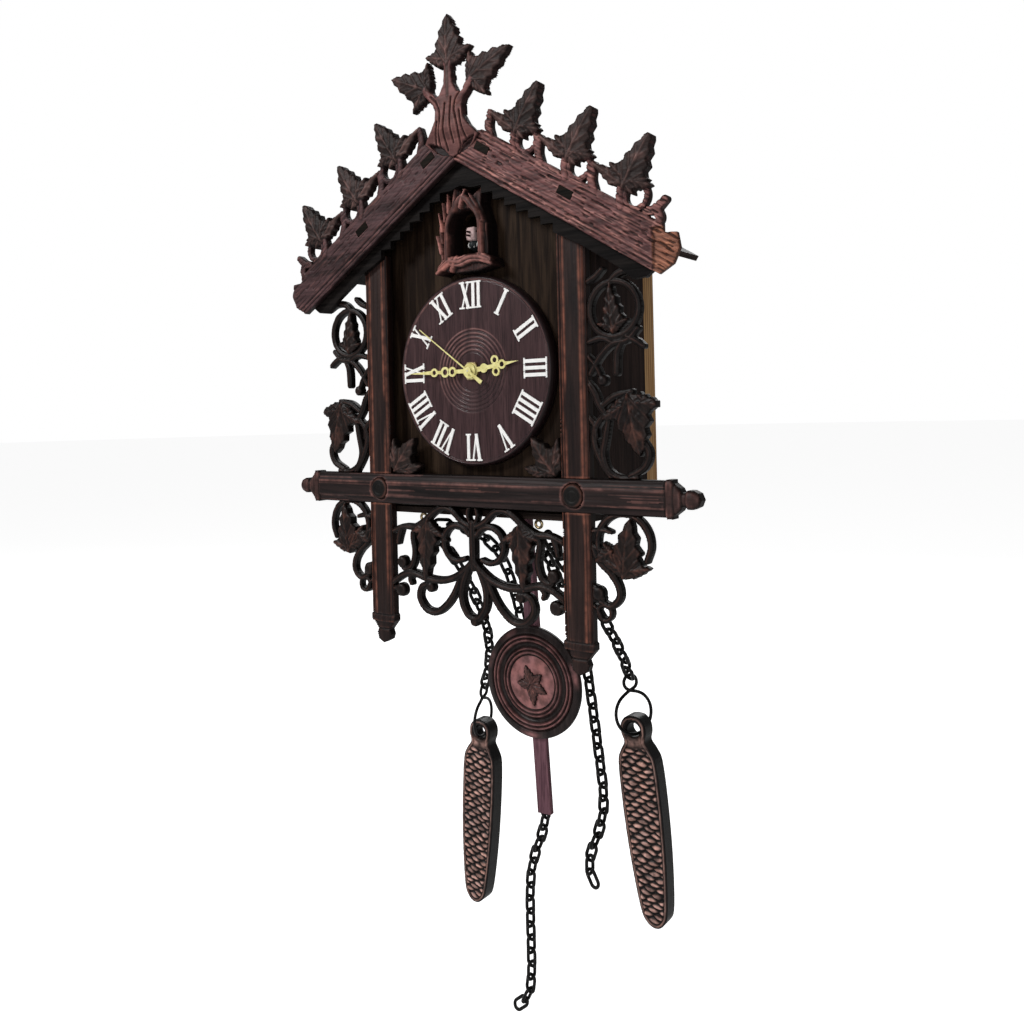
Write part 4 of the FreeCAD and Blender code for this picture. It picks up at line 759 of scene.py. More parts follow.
def make_bargeboards():
    """Sawn boards, their leafy crestings, streaks along the slope and sockets for the inlays."""
    outline = [(0, BARGE_LOW), (137, 121.2), (145.5, 126), (149.5, 134), (148, 142.5),
               (141, BARGE_HIGH - SLOPE * 141), (0, BARGE_HIGH)]
    for side, rough, lines, bare_end in (("right", 1.2, 0.6, 1.0), ("left", 0.5, 0.8, 0.0)):
        board = Relief(-16, -1, 182, 62, 0.45, TILT, (0, BARGE_LOW))
        u, v = board.u, board.v
        board.polygon(outline, 0 * u)
        draw_cresting(board)
        ragged = 2.2 * noise_field(board.x, board.z, 4, 4, 14)
        raw = bare_end * smooth_step((board.x - BOARD_END - ragged) / 0.8) * (board.z < BARE_TOP)
        streaks = noise_field(u, v, 22, 0.9, 11) * 0.5 + noise_field(u, v, 8, 0.6, 12) * 0.5
        chips = noise_field(u, v, 5.5, 0.8, 13)
        cuts = smooth_step((chips - 0.68) * 8)
        height = 0.9 * rough * (streaks - 0.5) - 0.8 * rough * cuts
        for level in (2.4, 5.2):
            height -= lines * np.exp(-((v - level) / 0.45) ** 2) * (raw < 0.5)
        height -= (0.35 * ((v < 5.2) & (v > 2.4)) + 0.2 * (v < 2.4)) * (raw < 0.5)
        pale = np.clip((streaks - 0.5) * 2.2 * rough, 0, 0.6) * smooth_step((chips - 0.2) * 2)
        pale = pale + (0.40 * np.exp(-((v - 3.6) / 0.8) ** 2) + 0.3 * np.exp(-((v - 6.3) / 0.5) ** 2)) * chips
        bare = 1 - board.tone
        board.h = board.h + height * bare - 1.5 * raw
        # painted shade in the knife cuts
        board.painted_shade = np.maximum(board.painted_shade, 0.8 * rough * cuts * bare * (streaks < 0.6))
        board.pale = np.clip(board.pale + pale * bare + 0.35 * raw * streaks, 0, 1)
        for middle in SOCKETS:
            level = (BARGE_LOW + CREST_LINE) / 2 + 1.7 - SLOPE * middle
            mu = (board.x - middle) * math.cos(TILT) - (board.z - level) * math.sin(TILT)
            mv = (board.x - middle) * math.sin(TILT) + (board.z - level) * math.cos(TILT)
            socket = (np.abs(mu) < 5.6) & (np.abs(mv) < 2.4)
            # the sockets take painted shade
            board.h = np.where(socket, -1.35, board.h)
            board.pale = np.where(socket, 0, board.pale)
            board.painted_shade = np.where(socket, 1, board.painted_shade)
        board.sink(NOTCH, 1.3)
        board.d = np.maximum(board.d, -board.x)
        obj = board.build(f"carved_bargeboard_{side}", "case",
                          [f"bargeboard_{side}", f"cresting_{side}"], -9.0, 4.6, edge=0.5,
                          mirror=side == "left", raised_wear_and_highlight=0.5, rough=0.05)
        paint(obj, M[f"barge_{side}"], M["barge_end"])
        if bare_end:
            wood_faces(obj, lambda x, z: x > BOARD_END + 1.4 and z < BARE_TOP)


TRUNK = [
    (0, 207.5), (14, 212), (21, 218), (14.5, 225), (11, 231), (10.8, 237), (13.5, 243.5),
    (7, 246), (3.6, 252), (2.6, 266),
]

TRUNK_GROOVES = [
    [(-9, 214), (-8.6, 224), (-6.8, 233), (-8.5, 241), (-13, 246)],
    [(-3.6, 212), (-4.6, 224), (-2.4, 240)],
    [(1.6, 216), (1.0, 230), (2.4, 243)],
    [(6.5, 213), (6.6, 225), (4.6, 236), (7.5, 243), (13, 247)],
    [(12.5, 214), (9.8, 224), (8.4, 234)],
    [(-12.8, 213), (-10.8, 222), (-9.2, 230)],
]


def make_ridge():
    """The little tree at the ridge: a grooved trunk that flares into the roof, and three leaves."""
    tree = Relief(-52, 204, 52, 298, 0.42)
    swell = 4.2 * smooth_step((tree.z - 209) / 18)
    tree.polygon(TRUNK + [(-x, z) for x, z in reversed(TRUNK)], 0.5 + swell, 0.12)
    for side in (-1, 1):
        tree.stroke(5.0, [(side * 8, 240), (side * 13, 245), (side * 18, 251)], base=4.2, rise=1.2,
                    grooves=False, pale=0.12)
    for line in TRUNK_GROOVES:
        tree.groove(line, 1.7, 0.6)
    tree.ink = 1.0
    for side in (-1, 1):
        tree.leaf(side * 14, 250, 36, 13, side * 66, base=3.7, rise=1.5)
    tree.leaf(0, 262, 33, 14.5, 0, base=3.7, rise=1.5)
    tree.stroke(2.6, [(0, 244), (0, 256), (0, 264)], base=4.2, rise=0.9, grooves=False, pale=0.3)
    tree.remove(outline_distance(tree.x, tree.z, NOTCH))
    tree.remove(outline_distance(-tree.x, tree.z, NOTCH))
    obj = tree.build("carved_ridge_ornament", "case", ["ridge_ornament"], -9.3, 0.4, edge=0.9,
                     raised_wear_and_highlight=0.6)
    paint(obj, M["barge_right"])


def wood_faces(obj, chosen):
    """Gives the faces whose middle is chosen, in drawing millimetres, the second material."""
    for face in obj.data.polygons:
        x = face.center.x * 1000
        z = face.center.z * 1000 - BEAM
        if chosen(x, z):
            face.material_index = 1


# ---------------------------------------------------------------- front framework

def make_posts():
    """Uprights with chamfered edges, two worn bands and a turned button at the foot."""
    for side, sign in (("right", 1), ("left", -1)):
        middle = 77.0
        half = 9.5
        post = Relief(middle - 11, -105, middle + 11, 156, 0.5)
        foot = -85.0
        tail = [(half, foot + 1), (half + 1, foot), (half + 1, foot - 3.5), (6.5, foot - 8), (5, foot - 10),
                (6.2, foot - 13), (5, foot - 16.5), (0, foot - 19)]
        outline = [(middle + x, z) for x, z in tail] + [(middle - x, z) for x, z in reversed(tail[:-1])]
        outline += [(middle - half, 155), (middle + half, 155)]
        across = np.abs(post.x - middle)
        shaft = post.z > foot
        height = np.where(shaft, -1.5 * smooth_step((across - 6.6) / 2.6), 0)
        height = height - 0.45 * np.exp(-((across - 6.4) / 0.4) ** 2) * shaft
        height = height + 0.3 * (noise_field(post.x, post.z, 0.9, 30, 21) - 0.5)
        rounded_foot = -1.6 + 1.2 * np.sqrt(np.clip(1 - (across / 7) ** 2, 0, 1))
        height = np.where(post.z < foot - 4.5, rounded_foot, height)
        height = height - 0.7 * np.exp(-((post.z - (foot - 9.6)) / 0.6) ** 2)
        height = height - 0.6 * np.exp(-((post.z - foot) / 0.5) ** 2)
        height = np.where((post.z > -10) & (post.z < 10), -3.2, height)
        bands = np.exp(-((across - 5.4) / 0.8) ** 2) + 0.5 * np.exp(-((across - 8.0) / 0.9) ** 2)
        patch = noise_field(post.x, post.z, 3.0, 26, 22)
        pale = np.clip(0.75 * bands * smooth_step((patch - 0.25) / 0.4), 0, 1) * shaft
        post.polygon(outline, height, pale)
        obj = post.build(f"carved_post_{side}", "case", [f"post_{side}"], 0.0, 5.8,
                         mirror=side == "left", edge=0.5, raised_wear_and_highlight=0.8, rough=0.06)
        paint(obj, M["post"])


PEG_X = 76.0


def make_beam():
    """The moulded beam with its flanges and turned tips, and the two pegs."""
    length, half, tip = 135.0, 10.0, 155.0
    beam = Relief(-tip, -11.5, tip, 11.5, 0.5)
    end = [(length, half), (length, 10.8), (length + 4, 10.8), (length + 4, 9), (length + 8, 6),
           (length + 9, 3.8), (length + 11, 3.8), (length + 12, 5.2), (length + 15, 5.2), (tip - 1.5, 3.6),
           (tip, 0)]
    right = end + [(x, -z) for x, z in reversed(end[:-1])]
    outline = right + [(-x, z) for x, z in reversed(right)]
    level = np.abs(beam.z)
    bar = 2.35 - 1.7 * smooth_step((level - 4.2) / 4.2)
    bar = bar - 0.5 * np.exp(-((beam.z - 5.6) / 0.5) ** 2) - 0.5 * np.exp(-((beam.z + 6.4) / 0.5) ** 2)
    bar = bar + 0.3 * (noise_field(beam.x, beam.z, 40, 0.9, 31) - 0.5)
    away = np.abs(beam.x)
    limit = np.interp(away, [135, 139, 143, 144, 146, 147, 150, 153.5, 155],
                      [10.8, 10.8, 6, 3.8, 3.8, 5.2, 5.2, 3.6, 0.5])
    turned = -1.0 + 3.2 * np.sqrt(np.clip(1 - (level / limit) ** 2, 0, 1)) * np.clip(limit / 6, 0.3, 1)
    shoulder = 2.2 - 0.8 * smooth_step((level - 8) / 3)
    height = np.where(away > 139, turned, np.where(away > 134.6, shoulder, bar))
    height = height - 0.7 * np.exp(-((away - 134.6) / 0.5) ** 2) - 0.5 * np.exp(-((away - 139.2) / 0.5) ** 2)
    streak = noise_field(beam.x, beam.z, 60, 0.8, 33)
    # a painted highlight along the beam's upper shoulder, broken into patches, and light streaks
    top_highlight = np.exp(-((beam.z - 4.2) / 0.7) ** 2)
    pale = np.clip(0.65 * top_highlight * smooth_step((noise_field(beam.x, beam.z, 22, 9, 34) - 0.2) / 0.4)
                   + 0.35 * (streak > 0.78), 0, 1)
    pale = np.where(away > 134, 0.15, pale)
    for sign in (1, -1):
        seat = np.hypot(beam.x - sign * PEG_X, beam.z) < 7.5
        height = np.where(seat, -0.4, height)
        pale = np.where(seat, 0, pale)
    beam.polygon(outline, height, pale)
    obj = beam.build("carved_cross_beam", "case", ["cross_beam"], 0.0, 6.0, edge=0.5, raised_wear_and_highlight=0.8,
                     rough=0.06)
    paint(obj, M["beam"])
    profile = [(0.02, -2.55), (1.2, -2.6), (2.6, -2.75), (3.1, -2.5), (3.5, -2.5), (4.2, -3.0), (5.2, -2.9),
               (6.3, -2.5), (6.9, -1.6), (7.0, -0.6), (7.0, 0.2)]

    def wear_and_highlight(r, a):
        # a pale ring round the peg, lighter towards the upper right
        return 0.8 * math.exp(-((r - 6.3) / 0.5) ** 2) * (0.7 + 0.3 * math.cos(a - 0.8))

    for name, sign in (("right", 1), ("left", -1)):
        peg = lathe(f"turned_peg_{name}", "case", ["peg_buttons"], (sign * PEG_X, 0), profile,
                    wear_and_highlight, count=64)
        paint(peg, M["peg"])


def side_fret(relief):
    """The tall scroll beside a post, above the beam."""
    relief.ring(104, 106, 17.6, 13.6)
    relief.stroke(3.8, [(119, 94), (112, 88), (103, 86.5), (95, 80), (88, 70)])
    relief.stroke(4.0, [(112, 90), (118, 87), (122, 84)])
    relief.stroke(4.6, [(109, 88), (105.5, 81), (104.8, 70)], ends=(0.8, 1.1))
    relief.stroke(3.8, [(86, 88), (96, 90), (103, 87)])
    relief.stroke(3.8, [(85, 122), (92, 125), (97, 129)])
    relief.stroke(4.8, [(101, 121), (108, 126), (117, 127), (124, 124)], ends=(0.8, 1.2))
    relief.knob(96, 66, 3.4)
    relief.stroke(3.2, [(96, 66), (92, 74), (86, 81)])
    relief.stroke(4.8, [(85, 66), (90, 60), (93, 53), (97, 47)])
    relief.stroke(4.4, [(96, 52), (104, 57), (114, 59)])
    relief.stroke(4.6, [(112, 12), (121, 17), (124, 25), (119, 33), (113, 38)])
    relief.stroke(4.6, [(116, 11), (106, 10.5), (98, 15), (95, 24), (97, 34), (99, 44)])
    relief.stroke(4.4, [(97, 47), (91, 40), (89.5, 31), (94, 20), (100, 11)])
    relief.stroke(4.0, [(85, 46), (90, 41), (91, 34)])
    relief.leaf(104, 92, 29, 8.5, -4, base=2.2)
    relief.leaf(112, 58, 36, 15.5, 168, base=2.4)


def lower_fret(relief):
    """The scroll beside a post, under the beam."""
    relief.arc(4.2, 107, -26, 16.8, -32, 236)
    relief.stroke(3.8, [(86, -28), (95, -32), (102, -37)])
    relief.stroke(3.4, [(86, -20), (94, -19), (99, -20)])
    relief.stroke(4.4, [(86, -28), (91, -37), (98, -43), (103, -50), (103.5, -57), (98, -62), (91.5, -60)])
    relief.knob(90, -55.5, 4.4)
    relief.stroke(4.0, [(85, -52), (89, -53), (93, -58)])
    relief.ring(94, -66, 5.7, 2.9)
    relief.stroke(2.8, [(85, -62), (89, -64), (92, -69)])
    relief.stroke(3.8, [(117, -31), (112, -34), (108, -38)])
    relief.leaf(103, -32, 15, 6.5, 140, base=2.0)
    relief.leaf(101, -30, 14, 6.0, 240, base=2.0)
    relief.leaf(107, -46, 35, 12.5, 8, base=2.6)


def centre_fret(relief, sign):
    """One half of the large scroll that hangs between the posts."""
    def flip(points):
        return [(sign * x, z) for x, z in points]
    relief.stroke(4.4, flip([(0, -23), (9, -19), (17, -12.5), (24, -11), (31, -14), (39, -20), (48, -24.5),
                             (58, -25), (69, -29)]))
    angles = [math.radians(150 - 27 * k) for k in range(11)]
    relief.stroke(4.2, flip([(12.5 + 11.2 * math.cos(a), -33 + 11.2 * math.sin(a)) for a in angles]))
    relief.stroke(4.2, flip([(22, -32), (28, -27), (36, -24)]))
    relief.stroke(4.4, flip([(46, -24), (50, -30), (48.5, -41), (51, -50), (57, -53), (60, -50)]))
    relief.knob(sign * 59.5, -48.5, 4.2)
    relief.stroke(4.4, flip([(60, -26), (62, -31), (63, -36)]), ends=(1.1, 0.8))
    relief.stroke(4.8, flip([(10, -52), (14, -62), (21, -72), (30, -78.5), (39, -78), (45, -71), (43.5, -64),
                             (38, -61)]))
    relief.knob(sign * 35.5, -63, 3.6)
    relief.stroke(4.8, flip([(0, -44), (7, -50), (15, -55), (26, -58), (38, -57.5), (50, -55), (59, -57),
                             (69, -63)]), base=1.8)
    relief.knob(sign * 61, -67, 4.6)
    relief.stroke(3.8, flip([(61, -67), (65, -66), (69, -67)]))
    relief.stroke(3.8, flip([(50, -55), (53, -59), (52, -62)]))
    relief.stroke(4.8, flip([(0, -42), (6, -52), (9.5, -62), (9, -71), (5, -77.5), (0, -80)]), base=1.6)
    relief.stroke(2.8, flip([(0, -23), (3.4, -17), (3.4, -12), (0, -5)]))
    relief.leaf(sign * 36, -19, 41, 10.5, sign * 176, base=2.4)


def trim_to(relief, x0, z0, x1, z1):
    """Keeps only what lies inside a rectangle."""
    box = np.maximum(np.maximum(x0 - relief.x, relief.x - x1), np.maximum(z0 - relief.z, relief.z - z1))
    relief.d = np.maximum(relief.d, box)


def make_frets():
    """The pierced scrollwork beside, below and between the posts."""
    front = 2.8
    upper = Relief(84, 8, 130, 132, 0.42)
    side_fret(upper)
    trim_to(upper, 86.5, 10, 130, 132)
    lower = Relief(84, -76, 126, -8, 0.42)
    lower_fret(lower)
    trim_to(lower, 86.5, -76, 126, -10)
    corner = Relief(32, 8, 70, 46, 0.42)
    corner.leaf(62, 12, 22, 6.5, 8, base=1.6)
    corner.leaf(57, 12, 17, 6.5, -78, base=1.6)
    corner.leaf(64, 11, 29, 11.5, -38, base=2.2)
    trim_to(corner, 30, 10, 67.5, 46)
    for side in ("right", "left"):
        mirror = side == "left"
        obj = upper.build(f"carved_side_fret_{side}", "case",
                          [f"side_fret_{side}"], front, 2.2,
                          mirror=mirror, raised_wear_and_highlight=0.45)
        paint(obj, M["carved"])
        obj = lower.build(f"carved_lower_fret_{side}", "case",
                          [f"lower_fret_{side}"], front, 2.2,
                          mirror=mirror, raised_wear_and_highlight=0.6)
        paint(obj, M["carved"])
        obj = corner.build(f"carved_corner_leaf_{side}", "case",
                           [f"corner_leaf_{side}"], front,
                           2.2, mirror=mirror, raised_wear_and_highlight=0.5)
        paint(obj, M["leaf"])
    centre = Relief(-69, -88, 69, -8, 0.42)
    centre.stroke(5.4, [(0, -20), (0, -33), (0, -48)], base=1.8)
    for sign in (1, -1):
        centre_fret(centre, sign)
    centre.knob(0, -81.5, 3.2)
    trim_to(centre, -67.5, -90, 67.5, -10)
    obj = centre.build("carved_centre_fret", "case", ["centre_fret"], front, 2.2, raised_wear_and_highlight=0.5)
    paint(obj, M["carved"])


# ---------------------------------------------------------------- dial

def make_dial():
    """The turned dial: a rounded rim with a pale line inside it, and rings about the middle; the line and the
    rings take a painted highlight towards the upper left, and the rim's outer roll painted shade.
    """
    profile = []
    radius = 4.3
    while radius < 60.2:
        depth = 5.0
        for k in range(6):
            depth += 0.8 * math.exp(-((radius - (12.4 + 2.6 * k)) / 0.5) ** 2)
        depth += 0.5 * math.exp(-((radius - 57.2) / 0.4) ** 2)
        depth -= 0.5 * math.exp(-((radius - 58.4) / 0.6) ** 2)
        depth += 1.6 * max(0.0, (radius - 58.8) / 1.4) ** 2
        profile.append((radius, depth))
        radius += 0.28
    profile += [(60.2, 7.2), (60.2, 11.7), (59.9, 12.0), (4.3, 12.0)]

    def wear_and_highlight(r, a):
        rings = sum(math.exp(-((r - (13.6 + 2.6 * k)) / 0.45) ** 2) for k in range(6))
        # painted highlight: the rings and the pale line are lighter towards the upper left
        light = 0.5 + 0.5 * math.cos(a - 2.2)
        return 0.6 * rings * light + 0.6 * math.exp(-((r - 57.6) / 0.35) ** 2) * light

    # painted shade on the rim's outer roll and side, from radius 58.5 out
    dial = lathe("turned_dial", "case", ["dial_disc"], (0, 75.5), profile, wear_and_highlight, count=220,
                 hole=4.3, dark_from=58.5)
    paint(dial, M["dial"])


# ---------------------------------------------------------------- nest and bird

def make_nest():
    """The carved nest mouth: a bark arch with ragged feather-like strokes down its left side."""
    nest = Relief(-24, 135, 25, 194, 0.4)
    back = [(-20, 140), (-8, 137.5), (8, 137.5), (22, 140), (17, 147), (17, 166), (12, 180), (14, 190),
            (4, 184), (-6, 191), (-10, 183), (-17, 183), (-16, 172), (-22, 162), (-17, 150)]
    grain = noise_field(nest.x, nest.z, 1.0, 9, 41)
    nest.polygon(back, 0.2 + 0.9 * grain, 0.1)
    arch = [(-13.5, 146), (-13.2, 158), (-12, 169), (-7.5, 177), (0, 184), (7.5, 177), (12, 169), (13.2, 158),
            (13.2, 147)]
    nest.stroke(3.8, arch, base=2.6, rise=1.8, pale=0.16, grooves=False)
    nest.stroke(6.0, [(-19, 141), (-12, 145), (-4, 144), (4, 146), (12, 145.5), (19, 143)], base=2.4,
                rise=2.2,
                pale=0.45)
    nest.stroke(3.4, [(-21.5, 138.5), (-14, 143), (-9, 147)], base=3.0, rise=1.4, grooves=False, pale=0.75)
    nest.stroke(3.0, [(-10, 139), (-8, 143), (-6, 147)], base=3.0, rise=1.2, grooves=False, pale=0.7)
    nest.stroke(3.0, [(12, 147), (17, 143), (21, 140.5)], base=3.0, rise=1.2, grooves=False, pale=0.6)
    for k, (x, z, lean) in enumerate(((-16.5, 150, 18), (-18, 156, 24), (-17, 163, 14), (-16.5, 170, 20),
                                      (-14.5, 176, 10), (-11, 181, 4), (-7, 185, -14), (-2, 183, -30))):
        dx = math.sin(math.radians(-lean))
        dz = math.cos(math.radians(lean))
        nest.stroke(2.6, [(x, z - 5), (x + 3 * dx, z), (x + 8 * dx, z + 6.5 * dz)], base=2.6 + 0.5 * (k % 2),
                    rise=1.3, grooves=False, ends=(1.1, 0.4), pale=0.5 * (k % 2))
    for x, z, lean in ((4, 181, 30), (9, 178, 36), (12, 172, 40)):
        dx = math.sin(math.radians(-lean))
        nest.stroke(2.8, [(x + 2, z - 4), (x, z + 1), (x + 8 * dx, z + 8)], base=2.0, rise=1.2, grooves=False,
                    ends=(1.1, 0.5))
    mouth = [(11.0, 148)]
    for k in range(25):
        a = math.pi * k / 24
        mouth.append((11.0 * math.cos(a), 166 + 11.0 * math.sin(a)))
    mouth.append((-11.0, 148))
    nest.remove(outline_distance(nest.x, nest.z, mouth))
    obj = nest.build("carved_nest_front", "case", ["nest_front"], 1.6, 10.3, edge=1.2, raised_wear_and_highlight=0.5)
    paint(obj, M["nest"])


def blob(name, material, centre, radii, subdivisions=3, squash=None):
    """A smooth rounded solid, shaped by an optional change to its points."""
    mesh = bpy.data.meshes.new(name)
    bm = bmesh.new()
    bmesh.ops.create_icosphere(bm, subdivisions=subdivisions, radius=1.0)
    for vert in bm.verts:
        p = vert.co
        if squash:
            p = squash(p)
        vert.co = Vector(to_row(centre[0] + p.x * radii[0], centre[1] + p.y * radii[1],
                                centre[2] + p.z * radii[2]))
    bm.to_mesh(mesh)
    bm.free()
    shade_smooth(mesh)
    obj = put_in_scene(name, mesh)
    paint(obj, material)
    return obj


def block_like(p):
    """A rounded block rather than a ball."""
    def push(c):
        return math.copysign(abs(c) ** 0.45, c)
    return Vector((push(p.x), push(p.y), push(p.z)))


def make_bird():
    """The cuckoo: a dark body with pale streaks, wings and tail, a pale head and a split beak."""
    low = 148.0
    body = blob("bird_body", M["bird"], (0, 15, low + 7.6), (4.9, 8.6, 4.9),
                squash=lambda p: Vector((p.x, p.y, p.z * (1 + 0.15 * p.y))))
    pieces = [body]
    pieces.append(blob("bird_head", M["bird_head"], (0, 9.2, low + 14.2), (3.6, 4.0, 4.4), squash=block_like))
    for name, z, drop in (("upper", 1.0, 0.5), ("lower", -1.2, -0.3)):
        def pointed(p, drop=drop):
            return Vector((p.x * (0.55 + 0.45 * p.y), p.y, p.z + drop * p.y * -0.4))
        pieces.append(blob(f"bird_beak_{name}", M["beak"], (0, 4.4, low + 14.0 + z), (1.5, 3.6, 0.7), 2,
                           squash=pointed))
    for name, x in (("left", -3.5), ("right", 3.5)):
        pieces.append(blob(f"bird_eye_{name}", M["beak"], (x, 7.6, low + 15.6), (0.5, 0.7, 0.7), 2))
    for name, x in (("left", -4.6), ("right", 4.6)):
        pieces.append(blob(f"bird_wing_{name}", M["bird"], (x, 17, low + 8), (1.0, 7.6, 3.4)))
    pieces.append(blob("bird_tail", M["bird"], (0, 26, low + 8.2), (2.8, 6.5, 0.9)))
    for k in range(5):
        place = (-3.4 + 1.7 * k, 7.6 + 0.25 * abs(k - 2) ** 2, low + 7.6 - 0.7 * (k % 2))
        pieces.append(blob(f"bird_streak_{k}", M["streak"], place, (0.42, 0.5, 1.7), 2,
                           squash=lambda p: Vector((p.x + 0.8 * p.z, p.y, p.z))))
    pieces.append(blob("bird_legs", M["bird"], (0, 14, low + 3.1), (1.6, 1.6, 1.4)))
    for piece in pieces:
        finish_piece(piece, "bird", ["cuckoo_bird"])


# ---------------------------------------------------------------- pendulum

SWING = math.radians(3.3)
PIVOT = (0.0, 45.0)
BOB_DISTANCE = 175.0
BOB_CENTRE = (BOB_DISTANCE * math.sin(SWING), PIVOT[1] - BOB_DISTANCE * math.cos(SWING))


def make_bob():
    """The turned bob with its raised rings and a carved ivy leaf on the middle."""
    profile = []
    radius = 0.02
    while radius < 36.6:
        lift = 0.0
        for place, high, wide in ((19.6, 1.0, 0.8), (22.2, 0.9, 0.7), (27.6, 1.1, 0.9), (30.2, 1.0, 0.8)):
            lift += high * math.exp(-((radius - place) / wide) ** 2)
        for place, high, wide in ((18.1, 0.8, 0.5), (20.9, 0.7, 0.45), (24.8, 1.5, 1.7), (28.9, 0.8, 0.45),
                                  (31.7, 0.9, 0.6)):
            lift -= high * math.exp(-((radius - place) / wide) ** 2)
        if radius > 32:
            lift += 0.7 - 0.05 * (radius - 32) ** 2
        profile.append((radius, 48.4 - lift))
        radius += 0.22
    profile += [(36.9, 49.2), (37.0, 49.8), (37.0, 51.4), (36.6, 52.0), (0.02, 52.0)]

    def wear_and_highlight(r, a):
        rim = smooth_step(np.array(math.sin(3 * a + 0.6) * 0.5 + math.sin(7 * a) * 0.35 - 0.1)).item()
        value = 0.72 if r < 17.6 else 0.0
        for place, wide, amount in ((19.6, 0.7, 0.6), (22.2, 0.6, 0.4), (27.6, 0.7, 0.5), (30.2, 0.6, 0.5)):
            value += amount * math.exp(-((r - place) / wide) ** 2)
        value += 0.75 * rim * math.exp(-((r - 34.6) / 1.7) ** 2)
        return min(1.0, value)

    bob = lathe("turned_bob", "pendulum", ["pendulum_bob"], BOB_CENTRE, profile, wear_and_highlight, count=200)
    paint(bob, M["bob"])
    leaf = Relief(-16.5, -16.5, 16.5, 16.5, 0.28)
    for lean, length, half_width in ((-22, 13.0, 4.8), (48, 11.0, 4.6), (112, 13.0, 4.8), (172, 14.5, 4.8),
                                     (-92, 11.5, 4.8)):
        leaf.blade(0, -1.0, length, half_width, lean, base=0.5, rise=0.9, pale=0.1, veins=3)
    leaf.stroke(1.4, [(0, -1), (1.5, -6), (1.0, -11)], base=1.0, rise=0.5, grooves=False, pale=0.7)
    # painted shade in a thin line round the leaf's edge
    leaf.painted_shade = np.exp(-((leaf.d + 0.3) / 0.5) ** 2)

    def spot(points):
        return points + np.array(to_row(BOB_CENTRE[0], 0, BOB_CENTRE[1])) - np.array(to_row(0, 0, 0))

    obj = leaf.build("carved_bob_leaf", "pendulum", [], 48.3, 0.8, edge=0.4, raised_wear_and_highlight=0.6, rough=0.05,
                     spot=spot)
    paint(obj, M["bob_leaf"])


# ---------------------------------------------------------------- weights

# Each weight's side, the place of its eye, how far it leans and how far its wire is turned.
WEIGHTS = (("left", -62.2, -187.1, 3.6, 100.0), ("right", 65.4, -162.6, -6.2, 62.0))


def make_cones():
    """The flat fir cones: rows of slanting scales on the front, a thin border and plain sides."""
    low = -126.0
    right = [(0, 10.4), (5.2, 9.2), (8.7, 4.6), (9, -1.2), (7.6, -6.9), (11, -12.6), (13.8, -20.7),
             (14.3, -46), (13.1, -80), (9.9, low + 13), (6.3, low + 3.4), (0, low)]
    outline = right + [(-x, z) for x, z in reversed(right[1:-1])]
    curve = smooth_line(outline + outline[:1], 4)[:-1]
    for side, x, z, lean, _ in WEIGHTS:
        cone = Relief(-15, low - 1, 15, 11.5, 0.36)
        d = outline_distance(cone.x, cone.z, curve)
        scales = smooth_step((-d - 2.2) / 0.8) * (cone.z < -11)
        row = (cone.z + 0.16 * cone.x + 1.6 * noise_field(cone.x, cone.z, 6, 6, 55)) / 3.5
        across = (cone.x + 1.2 * noise_field(cone.x, cone.z, 9, 3, 56)) / 8.2 + 0.5 * (np.floor(row) % 2)
        wave_r = np.abs((row - np.floor(row)) - 0.5) * 2
        wave_a = np.abs((across - np.floor(across)) - 0.5) * 2
        lens = 1.0 * np.clip(1 - wave_a ** 2.6, 0.02, 1)
        bulge = np.clip(1 - (wave_r / lens) ** 2, 0, 1) * np.clip(1.3 - wave_a, 0, 1)
        ragged = 0.65 + 0.7 * (noise_field(cone.x, cone.z, 3.1, 2.2, 52) - 0.3)
        height = -0.9 + scales * (1.8 * bulge * ragged) + 0.7 * (d > -2.2)
        from_eye = np.hypot(cone.x, cone.z - 1)
        height = height + 0.7 * smooth_step((cone.z + 9) / 4) * np.exp(-((from_eye - 7) / 1.6) ** 2)
        mottle = 0.35 + 0.9 * noise_field(cone.x, cone.z, 6, 2.4, 57)
        # painted highlight on the tops of the scales, mottled
        pale = scales * np.clip(bulge * 2.1 - 0.85, 0, 1) * mottle
        pale = np.maximum(pale, 0.35 * np.exp(-((d + 1.6) / 0.5) ** 2))
        collar = np.exp(-((cone.z + 7) / 2.6) ** 2) * (noise_field(cone.x, cone.z, 2.5, 2.5, 54))
        pale = np.maximum(pale, 0.9 * collar)
        cone.add(d, height, np.clip(pale, 0, 1))
        cone.remove(from_eye - 4.8)
        turn = Matrix.Rotation(math.radians(lean), 3, "Y")
        base = np.array(to_row(x, 0, z)) - np.array(to_row(0, 0, 0))
        pivot = np.array(to_row(0, 0, 0))

        def spot(points, turn=np.array(turn), base=base, pivot=pivot):
            return (points - pivot) @ turn.T + pivot + base

        obj = cone.build(f"cast_cone_{side}", f"weight_{side}",
                         [f"cone_weight_{side}"], 83.0, 11.0,
                         edge=0.8, raised_wear_and_highlight=0.35, rough=0.1, spot=spot)
        paint(obj, M["cone"])


